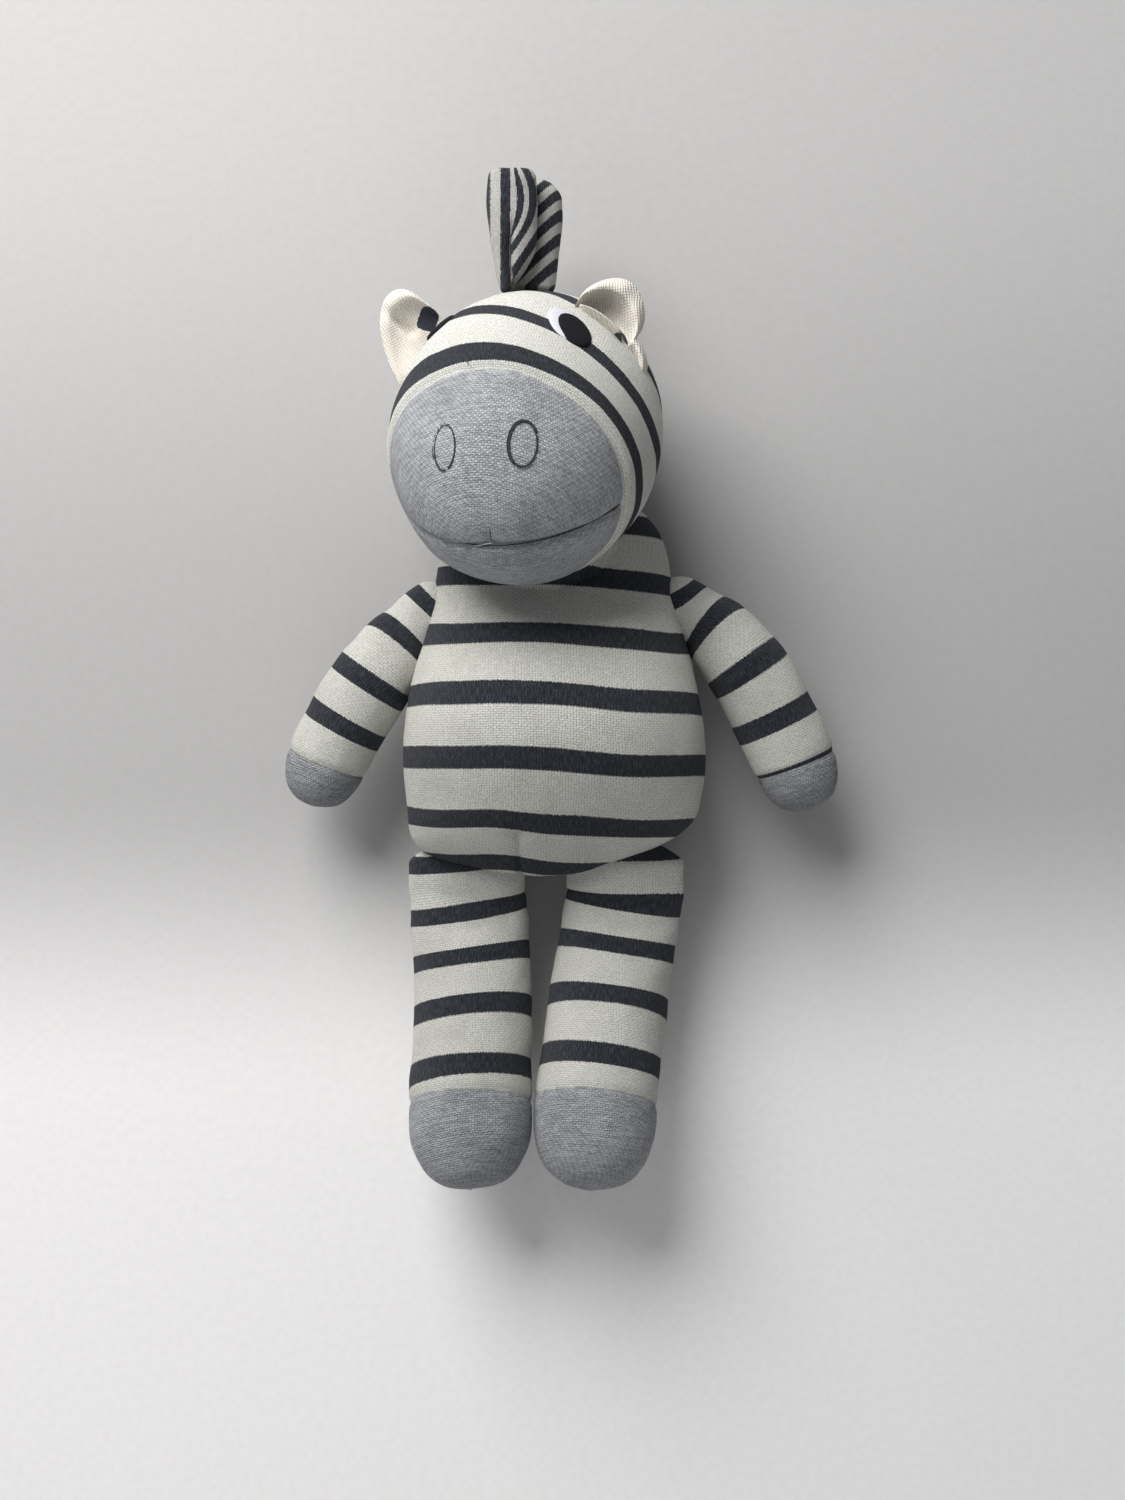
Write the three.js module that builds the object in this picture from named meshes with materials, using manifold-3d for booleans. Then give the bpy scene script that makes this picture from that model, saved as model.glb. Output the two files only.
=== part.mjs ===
import * as THREE from 'three';
import { mergeVertices } from 'three/addons/utils/BufferGeometryUtils.js';
import Module from 'manifold-3d';

const wasm = await Module();
wasm.setup();

// All sizes are in mm. The zebra lies on its back: X runs across, Y from feet to head, Z up from the floor.
const vec = (x, y, z) => new THREE.Vector3(x, y, z);

// Fabric, filling and thread
const fabricWall = 1.2;
const fillingGap = 0.35;
const seamGap = 0.3;
const threadRadius = 0.5;
const fillingInset = fabricWall + fillingGap;
const meshTolerance = 0.12;

// Body: each station is height along Y, half width, back height and front height
const bodyCentreX = -0.8;
const bodyStations = [
  [-61.8, 0, 32, 32],
  [-60.6, 16, 24, 40],
  [-57.4, 29, 14, 47.5],
  [-51.5, 43.5, 7, 56],
  [-43.5, 53.5, 2, 65],
  [-32, 57.6, -0.5, 75],
  [-16, 59, -0.5, 84],
  [2, 57.8, -0.5, 86.5],
  [19, 55, -0.5, 80],
  [34, 51.3, -0.5, 68.5],
  [47, 48.8, -0.5, 57],
  [58, 46.6, -0.2, 52],
  [69, 44.6, 1, 50],
  [79, 39.8, 3.6, 47],
  [87, 29, 8, 42],
  [91, 0, 25, 25],
];
const bodyCorner = 2.25;
const bodyAround = 30;
const bodyRows = 20;
const fillingAround = 16;
const fillingRows = 11;

// Neck: the body's round top turns inside the hollow under the head
const neckCentre = vec(-5, 76, 34);
const neckRadius = 33;
const neckSeamOffset = 0.95;
const neckHollowClearance = 2.2;
const neckSides = 20;
const neckInnerSides = 16;
const ballRowShare = 0.6;
const neckSeamRise = 0.55;
const neckTurnLimits = [-25, 25];
const headNodLimits = [-22, 8];

// Head: an egg along its own line from the back of the head to the muzzle
const headCentre = vec(-11.24, 108.39, 61.98);
const headHalfWidth = 51.8;
const headHalfLength = 67.3;
const muzzleWay = vec(-0.19, -0.601, 0.776).normalize();
const headAcross = vec(1, 0, 0).addScaledVector(muzzleWay, -muzzleWay.x).normalize();
const chinWay = new THREE.Vector3().crossVectors(headAcross, muzzleWay);
const headAround = 30;
const headRows = 18;
const greyEdgeWay = vec(-0.26, -0.576, 0.775).normalize();
const greyEdgeOffset = 30.9;
const mouthWay = vec(-0.125, 0.817, 0.564).normalize();
const mouthOffset = -11.6;

// Arms: middle line from the shoulder to the hand's tip
const shoulderRadius = 14.2;
const leftArmLine = [
  vec(-50, 43, 33),
  vec(-63.5, 29, 32.5),
  vec(-76.8, 10, 31.5),
  vec(-86.2, -6, 30.5),
  vec(-92, -18.5, 29.5),
  vec(-96.2, -34.8, 28),
];
const rightArmLine = [
  vec(50, 44.5, 33),
  vec(64, 35, 32.5),
  vec(77.4, 18, 31.5),
  vec(86.8, 1, 30.5),
  vec(94.8, -17, 29.5),
  vec(101.4, -36.4, 28),
];
const armSwell = [
  [0.09, 13.4, 13.4],
  [0.18, 14.6, 14.4],
  [0.3, 15.9, 15.6],
  [0.46, 16.6, 16.4],
  [0.64, 16.6, 16.4],
  [0.8, 16.2, 16],
  [0.9, 14.4, 14.2],
  [0.97, 9.2, 9],
  [1, 0, 0],
];
const handSeamAt = 0.8;
const armRaiseLimit = 70;
const armAround = 14;
const armInnerAround = 8;

// Legs: middle line from the hip to the toe; the top end is thin where it is sewn into the body
const hipHalfWidth = 23;
const hipHalfDepth = 9.5;
const leftLegLine = [
  vec(-35.2, -60.5, 32),
  vec(-35.2, -68, 30),
  vec(-34.4, -80, 27.4),
  vec(-33.4, -100, 27),
  vec(-33.2, -122, 30),
  vec(-34, -145, 34),
  vec(-33.4, -184.5, 43),
];
const rightLegLine = [
  vec(27.4, -60.5, 32),
  vec(27.4, -68, 30),
  vec(25.6, -80, 27.4),
  vec(22.2, -102, 27),
  vec(19.6, -122, 30),
  vec(16.6, -145, 34),
  vec(13, -184.5, 43),
];
const legSwell = [
  [0.08, 23.3, 10],
  [0.15, 23.5, 14],
  [0.26, 23.7, 18.8],
  [0.42, 23.7, 22],
  [0.58, 23.9, 23],
  [0.72, 24.4, 23.6],
  [0.85, 23.4, 22.8],
  [0.94, 17.8, 17.4],
  [0.985, 9.8, 9.6],
  [1, 0, 0],
];
const footSeamAt = 0.74;
const legSpreadLimit = 10;
const legAround = 16;
const legInnerAround = 9;

// Face: places near the head's surface, and the sizes of the stitching
const rightEyePlace = vec(6.7, 141.9, 97.2);
const leftEyePlace = vec(-45, 147.4, 69.7);
const eyeHalfWidth = 6.9;
const eyeHalfHeight = 7;
const eyeWhiteHalfWidth = 1.7;
const eyeWhiteSpread = 1.15;
const rightEyeWhiteTurn = -2.5;
const leftEyeWhiteTurn = -0.6;
const stitchPadThickness = 1;
const eyeAround = 16;
const padRows = 6;
const rightNostrilPlace = vec(-11.5, 96.5, 123.3);
const leftNostrilPlace = vec(-39.4, 96.1, 116.5);
const nostrilHalfWidth = 4.9;
const nostrilHalfHeight = 8.1;
const mouthTurns = [-1.05, 0.95];
const creaseThreadRadius = 0.4;
const threadSides = 5;
const nostrilSteps = 20;
const mouthSpans = 10;
const mouthSteps = 20;
const creaseSpans = 3;
const creaseSteps = 5;
const mouthCreaseTop = vec(-24.3, 77.2, 119.5);
const mouthCreaseFoot = vec(-24.6, 66.5, 112.5);

// Ears: the middle of the base, the way along the base and the way out from the head
const leftEar = {
  base: vec(-50.5, 143.5, 51),
  along: vec(0.57, 0.8, -0.15).normalize(),
  out: vec(-0.75, 0.6, 0.1).normalize(),
};
const rightEar = {
  base: vec(19.5, 138.5, 79),
  along: vec(0.61, -0.76, 0.2).normalize(),
  out: vec(0.68, 0.7, 0.1).normalize(),
};
const earHeight = 21.5;
const earHalfWidth = 18;
const earLayerHalf = 1;
const earCurl = 5;
const earCurlShift = 0.3;
const earRootReach = 0.58;
const earTopNarrowing = 0.28;
const earRows = 10;
const leafAround = 14;
const earBaseGap = 0.35;
const earPivotRise = 1.5;
const earFoldLimits = [-30, 35];

// Mane: each station is a middle point and the half sizes across and front to back
const maneFront = [
  [-14.5, 159, 56, 0, 0],
  [-14.5, 162.5, 56, 4.2, 7],
  [-15, 172, 56.5, 6, 8.5],
  [-16.5, 184, 57, 8, 9],
  [-17.5, 196, 57, 8.8, 9],
  [-17.5, 206, 57, 8.4, 8.5],
  [-17, 210.5, 57, 5.2, 6],
  [-17, 212, 57, 0, 0],
];
const maneRear = [
  [-5.5, 153, 39, 0, 0],
  [-5.5, 157, 39, 4, 7.5],
  [-5, 170, 38, 5.6, 9],
  [-4, 183, 38, 7, 9.5],
  [-3.2, 196, 38, 7.2, 9.5],
  [-3.6, 205, 38, 6.2, 8],
  [-4.2, 208.5, 38, 3.6, 5],
  [-4.4, 210, 38, 0, 0],
];
const maneRowsPerStation = 2;
const maneHinge = vec(-10, 163.2, 47);
const maneHingeWay = vec(-9, 5, 18).normalize();
const maneFlopLimits = [-30, 30];

// Limb seams
const limbLead = 16;
const limbStraightShare = 0.35;
const rootAngles = [180, 150, 120, 95];
const limbCupClearance = 2;
const cupAround = 16;
const cupRows = 10;
const limbSeamOffset = 0.8;
const seamThreadRadius = 0.4;
const seamLoopDepth = 0.7;

// Room for motion: how much fuller and deeper than the body the shapes are that cut the limbs free
const blockerSwell = 1.4;
const blockerDepth = 60;
const blockerReach = 112;
const blockerAround = 20;

// Colours and finishes
const cream = 0xe6e2d3;
const creamRib = 0xece8da;
const embroideryWhite = 0xf4f4f6;
const embroideryBlack = 0x1c1d22;
const charcoal = 0x33353c;
const heather = 0x9a9da7;
const fillingWhite = 0xf2f1ec;
const knitRoughness = 0.95;
const fillingRoughness = 1;
const threadRoughness = 0.75;
const satinRoughness = 0.48;
const finish = (color, roughness) => new THREE.MeshStandardMaterial({ color, roughness, metalness: 0 });

const solids = [];

function solidFrom(geometry) {
  geometry.deleteAttribute('normal');
  geometry.deleteAttribute('uv');
  const joined = mergeVertices(geometry, 1e-4);
  const vertProperties = new Float32Array(joined.getAttribute('position').array);
  const triVerts = new Uint32Array(joined.getIndex().array);
  return new wasm.Manifold(new wasm.Mesh({ numProp: 3, vertProperties, triVerts }));
}

function addPiece(name, solid, material) {
  const mesh = solid.simplify(meshTolerance).getMesh();
  const geometry = new THREE.BufferGeometry();
  geometry.setAttribute('position', new THREE.BufferAttribute(new Float32Array(mesh.vertProperties), 3));
  geometry.setIndex(new THREE.BufferAttribute(new Uint32Array(mesh.triVerts), 1));
  geometry.computeVertexNormals();
  const piece = new THREE.Mesh(geometry, material);
  piece.name = name;
  solids.push(piece);
}

// A curve through numbers that belong together, used to read sizes between stations
function smooth(points) {
  return new THREE.CatmullRomCurve3(points, false, 'catmullrom', 0.5);
}

// A closed form whose surface point is given by how far along it is, from 0 to 1, and the way round
function swollen(around, along, surfacePoint) {
  const geometry = new THREE.SphereGeometry(1, around, along);
  const spots = geometry.getAttribute('position');
  const unit = new THREE.Vector3();
  for (let i = 0; i < spots.count; i += 1) {
    unit.fromBufferAttribute(spots, i);
    const reach = Math.acos(THREE.MathUtils.clamp(-unit.y, -1, 1)) / Math.PI;
    const girth = Math.hypot(unit.x, unit.z);
    const atPole = girth < 1e-6;
    const point = surfacePoint(reach, atPole ? 0 : unit.x / girth, atPole ? 0 : unit.z / girth);
    spots.setXYZ(i, point.x, point.y, point.z);
  }
  return solidFrom(geometry);
}

function ball(centre, radius, around) {
  return swollen(around, Math.round(around * ballRowShare), (reach, sideways, upward) => {
    const angle = reach * Math.PI;
    const ring = radius * Math.sin(angle);
    return vec(centre.x + ring * sideways, centre.y - radius * Math.cos(angle), centre.z + ring * upward);
  });
}

// A solid turned about a line, as a joint would turn it
function turned(solid, pivot, way, degrees) {
  const spin = new THREE.Matrix4().makeRotationAxis(way, THREE.MathUtils.degToRad(degrees));
  const back = new THREE.Matrix4().makeTranslation(pivot.x, pivot.y, pivot.z);
  const there = new THREE.Matrix4().makeTranslation(-pivot.x, -pivot.y, -pivot.z);
  return solid.transform(back.multiply(spin).multiply(there).elements);
}

// Room for a piece to turn: takes away what it would strike at each angle
function cleared(solid, blocker, pivot, way, angles) {
  return angles.reduce((rest, degrees) => rest.subtract(turned(blocker, pivot, way, -degrees)), solid);
}

function halfSpaceCut(solid, way, point, offset) {
  return solid.trimByPlane(way.toArray(), way.dot(point) + offset);
}

// A cross-section with rounded corners, between an ellipse and a box
function cornered(value) {
  return Math.sign(value) * Math.abs(value) ** (2 / bodyCorner);
}

function bodyForm(inset, around, rows, neckAround) {
  const widths = smooth(bodyStations.map(([y, w]) => vec(y, w, 0)));
  const depths = smooth(bodyStations.map(([, , back, front]) => vec(back, front, 0)));
  const middleY = (bodyStations[0][0] + bodyStations[bodyStations.length - 1][0]) / 2;
  const halfY = middleY - bodyStations[0][0];
  const shrinkY = (halfY - inset) / halfY;
  const body = swollen(around, rows, (reach, sideways, upward) => {
    const width = widths.getPoint(reach);
    const depth = depths.getPoint(reach);
    const middleZ = (depth.x + depth.y) / 2;
    const halfZ = (depth.y - depth.x) / 2;
    const shrinkX = Math.max(width.y - inset, 0);
    const shrinkZ = Math.max(halfZ - inset, 0);
    return vec(
      bodyCentreX + shrinkX * cornered(sideways),
      middleY + (width.x - middleY) * shrinkY,
      middleZ + shrinkZ * cornered(upward),
    );
  });
  const whole = body.add(ball(neckCentre, neckRadius - inset, neckAround));
  return halfSpaceCut(whole, vec(0, 0, 1), vec(0, 0, inset), 0);
}

function headForm(inset, around, along) {
  return swollen(around, along, (reach, sideways, upward) => {
    const angle = reach * Math.PI;
    const ring = (headHalfWidth - inset) * Math.sin(angle);
    return headCentre.clone()
      .addScaledVector(muzzleWay, -(headHalfLength - inset) * Math.cos(angle))
      .addScaledVector(headAcross, ring * sideways)
      .addScaledVector(chinWay, ring * upward);
  });
}

// The point of the head's surface on the line from its centre through a place, raised by a height
function onHead(near, height) {
  const ray = near.clone().sub(headCentre);
  const across = ray.dot(headAcross) / headHalfWidth;
  const forward = ray.dot(muzzleWay) / headHalfLength;
  const down = ray.dot(chinWay) / headHalfWidth;
  const out = vec(0, 0, 0)
    .addScaledVector(headAcross, across / headHalfWidth)
    .addScaledVector(muzzleWay, forward / headHalfLength)
    .addScaledVector(chinWay, down / headHalfWidth)
    .normalize();
  const point = headCentre.clone().addScaledVector(ray, 1 / Math.hypot(across, forward, down));
  return { point: point.addScaledVector(out, height), out };
}

// The ways right and up along the head's surface at a place
function headWays(near) {
  const { point, out } = onHead(near, 0);
  const up = vec(0, 1, 0).addScaledVector(out, -out.y).normalize();
  const right = new THREE.Vector3().crossVectors(up, out);
  return { point, out, right, up };
}

// A limb's middle line with its straight start inside the body, and its frame at a distance from the joint
function limbLine(points) {
  const outward = points[1].clone().sub(points[0]).normalize();
  const start = points[0].clone().addScaledVector(outward, -limbLead);
  const early = points[0].clone().lerp(points[1], limbStraightShare);
  const spots = [start, points[0], early, ...points.slice(1)];
  const curve = new THREE.CatmullRomCurve3(spots, false, 'centripetal');
  curve.arcLengthDivisions = 400;
  const total = curve.getLength();
  const lead = start.distanceTo(points[0]);
  const length = total - lead;
  const at = (distance) => {
    const share = THREE.MathUtils.clamp((lead + distance) / total, 0, 1);
    const spot = curve.getPointAt(share);
    const way = curve.getTangentAt(share);
    const side = new THREE.Vector3().crossVectors(way, vec(0, 0, 1)).normalize();
    const up = new THREE.Vector3().crossVectors(side, way);
    return { spot, way, side, up };
  };
  return { at, length };
}

// Stations of a limb: distance along it, half width and half depth, from the root's round end to the tip
function limbStations(length, rootWidth, rootDepth, swell) {
  const root = rootAngles.map((degrees) => {
    const angle = THREE.MathUtils.degToRad(degrees);
    return [rootDepth * Math.cos(angle), rootWidth * Math.sin(angle), rootDepth * Math.sin(angle)];
  });
  return [...root, ...swell.map(([share, width, depth]) => [share * length, width, depth])];
}

function limbForm(line, stations, inset, around) {
  const curve = smooth(stations.map((station) => vec(...station)));
  const first = stations[0][0];
  const last = stations[stations.length - 1][0];
  const middle = (first + last) / 2;
  const shrink = (last - middle - inset) / (last - middle);
  return swollen(around, stations.length - 1, (reach, sideways, upward) => {
    const station = curve.getPoint(reach);
    const frame = line.at(middle + (station.x - middle) * shrink);
    const width = reach > 0 && reach < 1 ? Math.max(station.y - inset, 0) : 0;
    const depth = reach > 0 && reach < 1 ? Math.max(station.z - inset, 0) : 0;
    return frame.spot.clone()
      .addScaledVector(frame.side, width * sideways)
      .addScaledVector(frame.up, depth * upward);
  });
}

// A thread with two ends along points
function threadAlong(points, radius, steps) {
  const outline = new THREE.Shape(
    Array.from({ length: threadSides }, (unused, i) => {
      const angle = (i / threadSides) * Math.PI * 2;
      return new THREE.Vector2(radius * Math.cos(angle), radius * Math.sin(angle));
    }),
  );
  const path = new THREE.CatmullRomCurve3(points, false, 'centripetal');
  return solidFrom(new THREE.ExtrudeGeometry(outline, { steps, bevelEnabled: false, extrudePath: path }));
}

// A closed thread: the place function takes the way round, how far beside its line and how far above
function threadLoop(radius, sides, placeAt) {
  const loop = new THREE.TorusGeometry(1, 0.5, threadSides, sides);
  const spots = loop.getAttribute('position');
  for (let i = 0; i < spots.count; i += 1) {
    const round = Math.hypot(spots.getX(i), spots.getY(i));
    const beside = radius * 2 * (round - 1);
    const above = radius * 2 * spots.getZ(i);
    const point = placeAt(spots.getX(i) / round, spots.getY(i) / round, beside, above);
    spots.setXYZ(i, point.x, point.y, point.z);
  }
  return solidFrom(loop);
}

// The seam thread round a form's inner end, in the plane square to a way, with its half width and half height
function seamLoop(centre, way, across, halfWidth, halfHeight, sides) {
  const other = new THREE.Vector3().crossVectors(way, across);
  return threadLoop(seamThreadRadius, sides, (cosine, sine, beside, above) => centre.clone()
    .addScaledVector(across, (halfWidth + beside) * cosine)
    .addScaledVector(other, (halfHeight + beside) * sine)
    .addScaledVector(way, above));
}

// Left and right limbs: the shape of each, and the hollow that its root turns in
function makeArm(points) {
  const line = limbLine(points);
  const stations = limbStations(line.length, shoulderRadius, shoulderRadius, armSwell);
  return { line, stations, pivot: points[0], seam: handSeamAt * line.length };
}

function makeLeg(points) {
  const line = limbLine(points);
  const stations = limbStations(line.length, hipHalfWidth, hipHalfDepth, legSwell);
  return { line, stations, pivot: points[0], seam: footSeamAt * line.length };
}

const arms = { left: makeArm(leftArmLine), right: makeArm(rightArmLine) };
const legs = { left: makeLeg(leftLegLine), right: makeLeg(rightLegLine) };

function shoulderCup(pivot, extra) {
  return ball(pivot, shoulderRadius + limbCupClearance + extra, cupAround);
}

// The hip's hollow holds the wide root at both ends of the leg's spread and half way
function hipCup(side, pivot, extra) {
  const width = hipHalfWidth + limbCupClearance + extra;
  const depth = hipHalfDepth + limbCupClearance + extra;
  const seat = swollen(cupAround, cupRows, (reach, sideways, upward) => {
    const angle = reach * Math.PI;
    const ring = Math.sin(angle);
    const across = width * ring * sideways;
    return vec(pivot.x + across, pivot.y - depth * Math.cos(angle), pivot.z + depth * ring * upward);
  });
  const spread = side === 'left' ? -legSpreadLimit : legSpreadLimit;
  const turns = [spread / 2, spread];
  return turns.reduce((hollow, turn) => hollow.add(turned(seat, pivot, vec(0, 0, 1), turn)), seat);
}

function bodyHollows(extra) {
  return [
    shoulderCup(arms.left.pivot, extra),
    shoulderCup(arms.right.pivot, extra),
    hipCup('left', legs.left.pivot, extra),
    hipCup('right', legs.right.pivot, extra),
  ];
}

function cutAll(solid, cutters) {
  return cutters.reduce((rest, cutter) => rest.subtract(cutter), solid);
}

function addBody() {
  const outer = bodyForm(0, bodyAround, bodyRows, neckSides);
  const inner = bodyForm(fabricWall, fillingAround, fillingRows, neckInnerSides);
  addPiece('body_cover', cutAll(outer.subtract(inner), bodyHollows(0)), finish(cream, knitRoughness));
  const filling = bodyForm(fillingInset, fillingAround, fillingRows, neckInnerSides);
  addPiece('body_filling', cutAll(filling, bodyHollows(seamGap)), finish(fillingWhite, fillingRoughness));
}

// What the head must miss as it turns and nods: the body, in the head's own frame
function neckBlockers() {
  const neckWay = headCentre.clone().sub(neckCentre).normalize();
  const shoulders = bodyForm(-blockerSwell, fillingAround, fillingRows, neckSides);
  const blockers = [];
  [0, ...neckTurnLimits].forEach((turn) => {
    [0, ...headNodLimits].forEach((nod) => {
      const untwisted = turned(shoulders, neckCentre, neckWay, -turn);
      blockers.push(turned(untwisted, neckCentre, vec(1, 0, 0), -nod));
    });
  });
  return blockers;
}

function addHead() {
  const hollow = ball(neckCentre, neckRadius + neckHollowClearance, neckSides);
  const inner = headForm(fabricWall, fillingAround, fillingRows);
  const blockers = neckBlockers();
  const shell = cutAll(headForm(0, headAround, headRows).subtract(inner).subtract(hollow), blockers);
  const half = seamGap / 2;
  const behind = halfSpaceCut(shell, greyEdgeWay.clone().negate(), headCentre, half - greyEdgeOffset);
  const front = halfSpaceCut(shell, greyEdgeWay, headCentre, greyEdgeOffset + half);
  addPiece('head_cover', behind, finish(cream, knitRoughness));
  const muzzle = halfSpaceCut(front, mouthWay, headCentre, mouthOffset + half);
  addPiece('muzzle_cover', muzzle, finish(heather, knitRoughness));
  const jaw = halfSpaceCut(front, mouthWay.clone().negate(), headCentre, half - mouthOffset);
  addPiece('chin_cover', jaw, finish(heather, knitRoughness));
  const fillingHollow = ball(neckCentre, neckRadius + neckHollowClearance + seamGap, neckSides);
  const filling = headForm(fillingInset, fillingAround, fillingRows).subtract(fillingHollow);
  addPiece('head_filling', cutAll(filling, blockers), finish(fillingWhite, fillingRoughness));
}

function addNeckSeam() {
  const way = headCentre.clone().sub(neckCentre).normalize();
  const reach = neckRadius + neckSeamOffset;
  const centre = neckCentre.clone().addScaledVector(way, reach * neckSeamRise);
  const across = new THREE.Vector3().crossVectors(way, vec(0, 0, 1)).normalize();
  const ringRadius = reach * Math.sqrt(1 - neckSeamRise ** 2);
  const ring = seamLoop(centre, way, across, ringRadius, ringRadius, neckSides);
  addPiece('neck_seam', ring, finish(charcoal, threadRoughness));
}

// What an arm must miss as it swings: the body's side below or above it, turned round the shoulder
function shoulderBlocker(side, arm, flank) {
  const outward = side === 'left' ? -1 : 1;
  const seat = Math.abs(arm.pivot.x - bodyCentreX);
  const profile = [new THREE.Vector2(0, -blockerDepth), new THREE.Vector2(blockerReach, -blockerDepth)];
  flank.forEach(([y, w]) => {
    profile.push(new THREE.Vector2(Math.abs(arm.pivot.y - y), w - seat + blockerSwell));
  });
  profile.push(new THREE.Vector2(0, blockerSwell));
  const lathe = new THREE.LatheGeometry(profile, blockerAround);
  lathe.rotateZ((-outward * Math.PI) / 2);
  lathe.translate(arm.pivot.x, arm.pivot.y, arm.pivot.z);
  return solidFrom(lathe).subtract(shoulderCup(arm.pivot, -seamGap));
}

function addArm(side, arm) {
  const seat = Math.abs(arm.pivot.x - bodyCentreX);
  const below = bodyStations.filter(([y, w]) => y < arm.pivot.y && w > seat);
  const above = bodyStations.filter(([y, w]) => y > arm.pivot.y && w > 0).reverse();
  const raiseWay = vec(0, 0, side === 'left' ? -1 : 1);
  const free = (solid) => {
    const lowered = cleared(solid, shoulderBlocker(side, arm, below), arm.pivot, raiseWay, [0]);
    return cleared(lowered, shoulderBlocker(side, arm, above), arm.pivot, raiseWay, [armRaiseLimit]);
  };
  const inner = limbForm(arm.line, arm.stations, fabricWall, armInnerAround);
  const shell = free(limbForm(arm.line, arm.stations, 0, armAround).subtract(inner));
  const cut = arm.line.at(arm.seam);
  const sleeve = halfSpaceCut(shell, cut.way.clone().negate(), cut.spot, seamGap / 2);
  const hand = halfSpaceCut(shell, cut.way, cut.spot, seamGap / 2);
  addPiece(`${side}_arm_sleeve`, sleeve, finish(cream, knitRoughness));
  addPiece(`${side}_hand_cap`, hand, finish(heather, knitRoughness));
  const filling = limbForm(arm.line, arm.stations, fillingInset, armInnerAround);
  addPiece(`${side}_arm_filling`, free(filling), finish(fillingWhite, fillingRoughness));
  const inward = side === 'left' ? 1 : -1;
  const reach = shoulderRadius + limbSeamOffset;
  const centre = arm.pivot.clone().add(vec(inward * reach * seamLoopDepth, 0, 0));
  const ringRadius = reach * Math.sqrt(1 - seamLoopDepth ** 2);
  const ring = seamLoop(centre, vec(1, 0, 0), vec(0, 1, 0), ringRadius, ringRadius, cupAround);
  addPiece(`${side}_shoulder_seam`, ring, finish(charcoal, threadRoughness));
}

function addLeg(side, leg) {
  const inner = limbForm(leg.line, leg.stations, fabricWall, legInnerAround);
  const shell = limbForm(leg.line, leg.stations, 0, legAround).subtract(inner);
  const cut = leg.line.at(leg.seam);
  const sleeve = halfSpaceCut(shell, cut.way.clone().negate(), cut.spot, seamGap / 2);
  const foot = halfSpaceCut(shell, cut.way, cut.spot, seamGap / 2);
  addPiece(`${side}_leg_sleeve`, sleeve, finish(cream, knitRoughness));
  addPiece(`${side}_foot_cap`, foot, finish(heather, knitRoughness));
  const filling = limbForm(leg.line, leg.stations, fillingInset, legInnerAround);
  addPiece(`${side}_leg_filling`, filling, finish(fillingWhite, fillingRoughness));
  const reach = hipHalfDepth + limbSeamOffset;
  const centre = leg.pivot.clone().add(vec(0, reach * seamLoopDepth, 0));
  const share = Math.sqrt(1 - seamLoopDepth ** 2);
  const width = (hipHalfWidth + limbSeamOffset) * share;
  const loop = seamLoop(centre, vec(0, 1, 0), vec(1, 0, 0), width, reach * share, neckSides);
  addPiece(`${side}_hip_seam`, loop, finish(charcoal, threadRoughness));
}

// A stitched pad on the head's surface, whose outline function gives how far right and down each part lies
function headPad(near, outline) {
  const ways = headWays(near);
  return swollen(eyeAround, padRows, (reach, sideways, upward) => {
    const angle = reach * Math.PI;
    const [right, down] = outline(Math.sin(angle) * sideways, Math.sin(angle) * upward);
    const spot = ways.point.clone().addScaledVector(ways.right, right).addScaledVector(ways.up, -down);
    return onHead(spot, seamGap + (stitchPadThickness / 2) * (1 - Math.cos(angle))).point;
  });
}

function addEye(side, near, whiteTurn) {
  const oval = (a, b) => [eyeHalfWidth * a, eyeHalfHeight * b];
  addPiece(`${side}_eye_dark`, headPad(near, oval), finish(embroideryBlack, satinRoughness));
  const crescent = (a, b) => {
    const turn = whiteTurn - a * eyeWhiteSpread;
    const reach = eyeHalfWidth + eyeWhiteHalfWidth + seamGap + b * eyeWhiteHalfWidth;
    return [reach * Math.cos(turn), reach * Math.sin(turn) * (eyeHalfHeight / eyeHalfWidth)];
  };
  addPiece(`${side}_eye_white`, headPad(near, crescent), finish(embroideryWhite, satinRoughness));
}

function addNostril(side, near) {
  const ways = headWays(near);
  const oval = threadLoop(threadRadius, nostrilSteps, (cosine, sine, beside, above) => {
    const spot = ways.point.clone()
      .addScaledVector(ways.right, (nostrilHalfWidth + beside) * cosine)
      .addScaledVector(ways.up, (nostrilHalfHeight + beside) * sine);
    return onHead(spot, seamGap + threadRadius + above).point;
  });
  addPiece(`${side}_nostril_thread`, oval, finish(charcoal, threadRoughness));
}

function addMouth() {
  const forward = muzzleWay.clone().addScaledVector(mouthWay, -mouthWay.dot(muzzleWay)).normalize();
  const across = new THREE.Vector3().crossVectors(mouthWay, forward);
  const seat = headCentre.clone().addScaledVector(mouthWay, mouthOffset);
  const points = Array.from({ length: mouthSpans + 1 }, (unused, i) => {
    const turn = THREE.MathUtils.lerp(mouthTurns[0], mouthTurns[1], i / mouthSpans);
    const spot = seat.clone()
      .addScaledVector(forward, headHalfLength * Math.cos(turn))
      .addScaledVector(across, headHalfWidth * Math.sin(turn));
    return onHead(spot, seamGap + threadRadius).point;
  });
  addPiece('mouth_thread', threadAlong(points, threadRadius, mouthSteps), finish(charcoal, threadRoughness));
  const crease = Array.from({ length: creaseSpans + 1 }, (unused, i) => {
    const spot = mouthCreaseTop.clone().lerp(mouthCreaseFoot, i / creaseSpans);
    return onHead(spot, seamGap + threadRadius).point;
  });
  const creaseThread = threadAlong(crease, creaseThreadRadius, creaseSteps);
  addPiece('mouth_crease_thread', creaseThread, finish(charcoal, threadRoughness));
}

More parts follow.
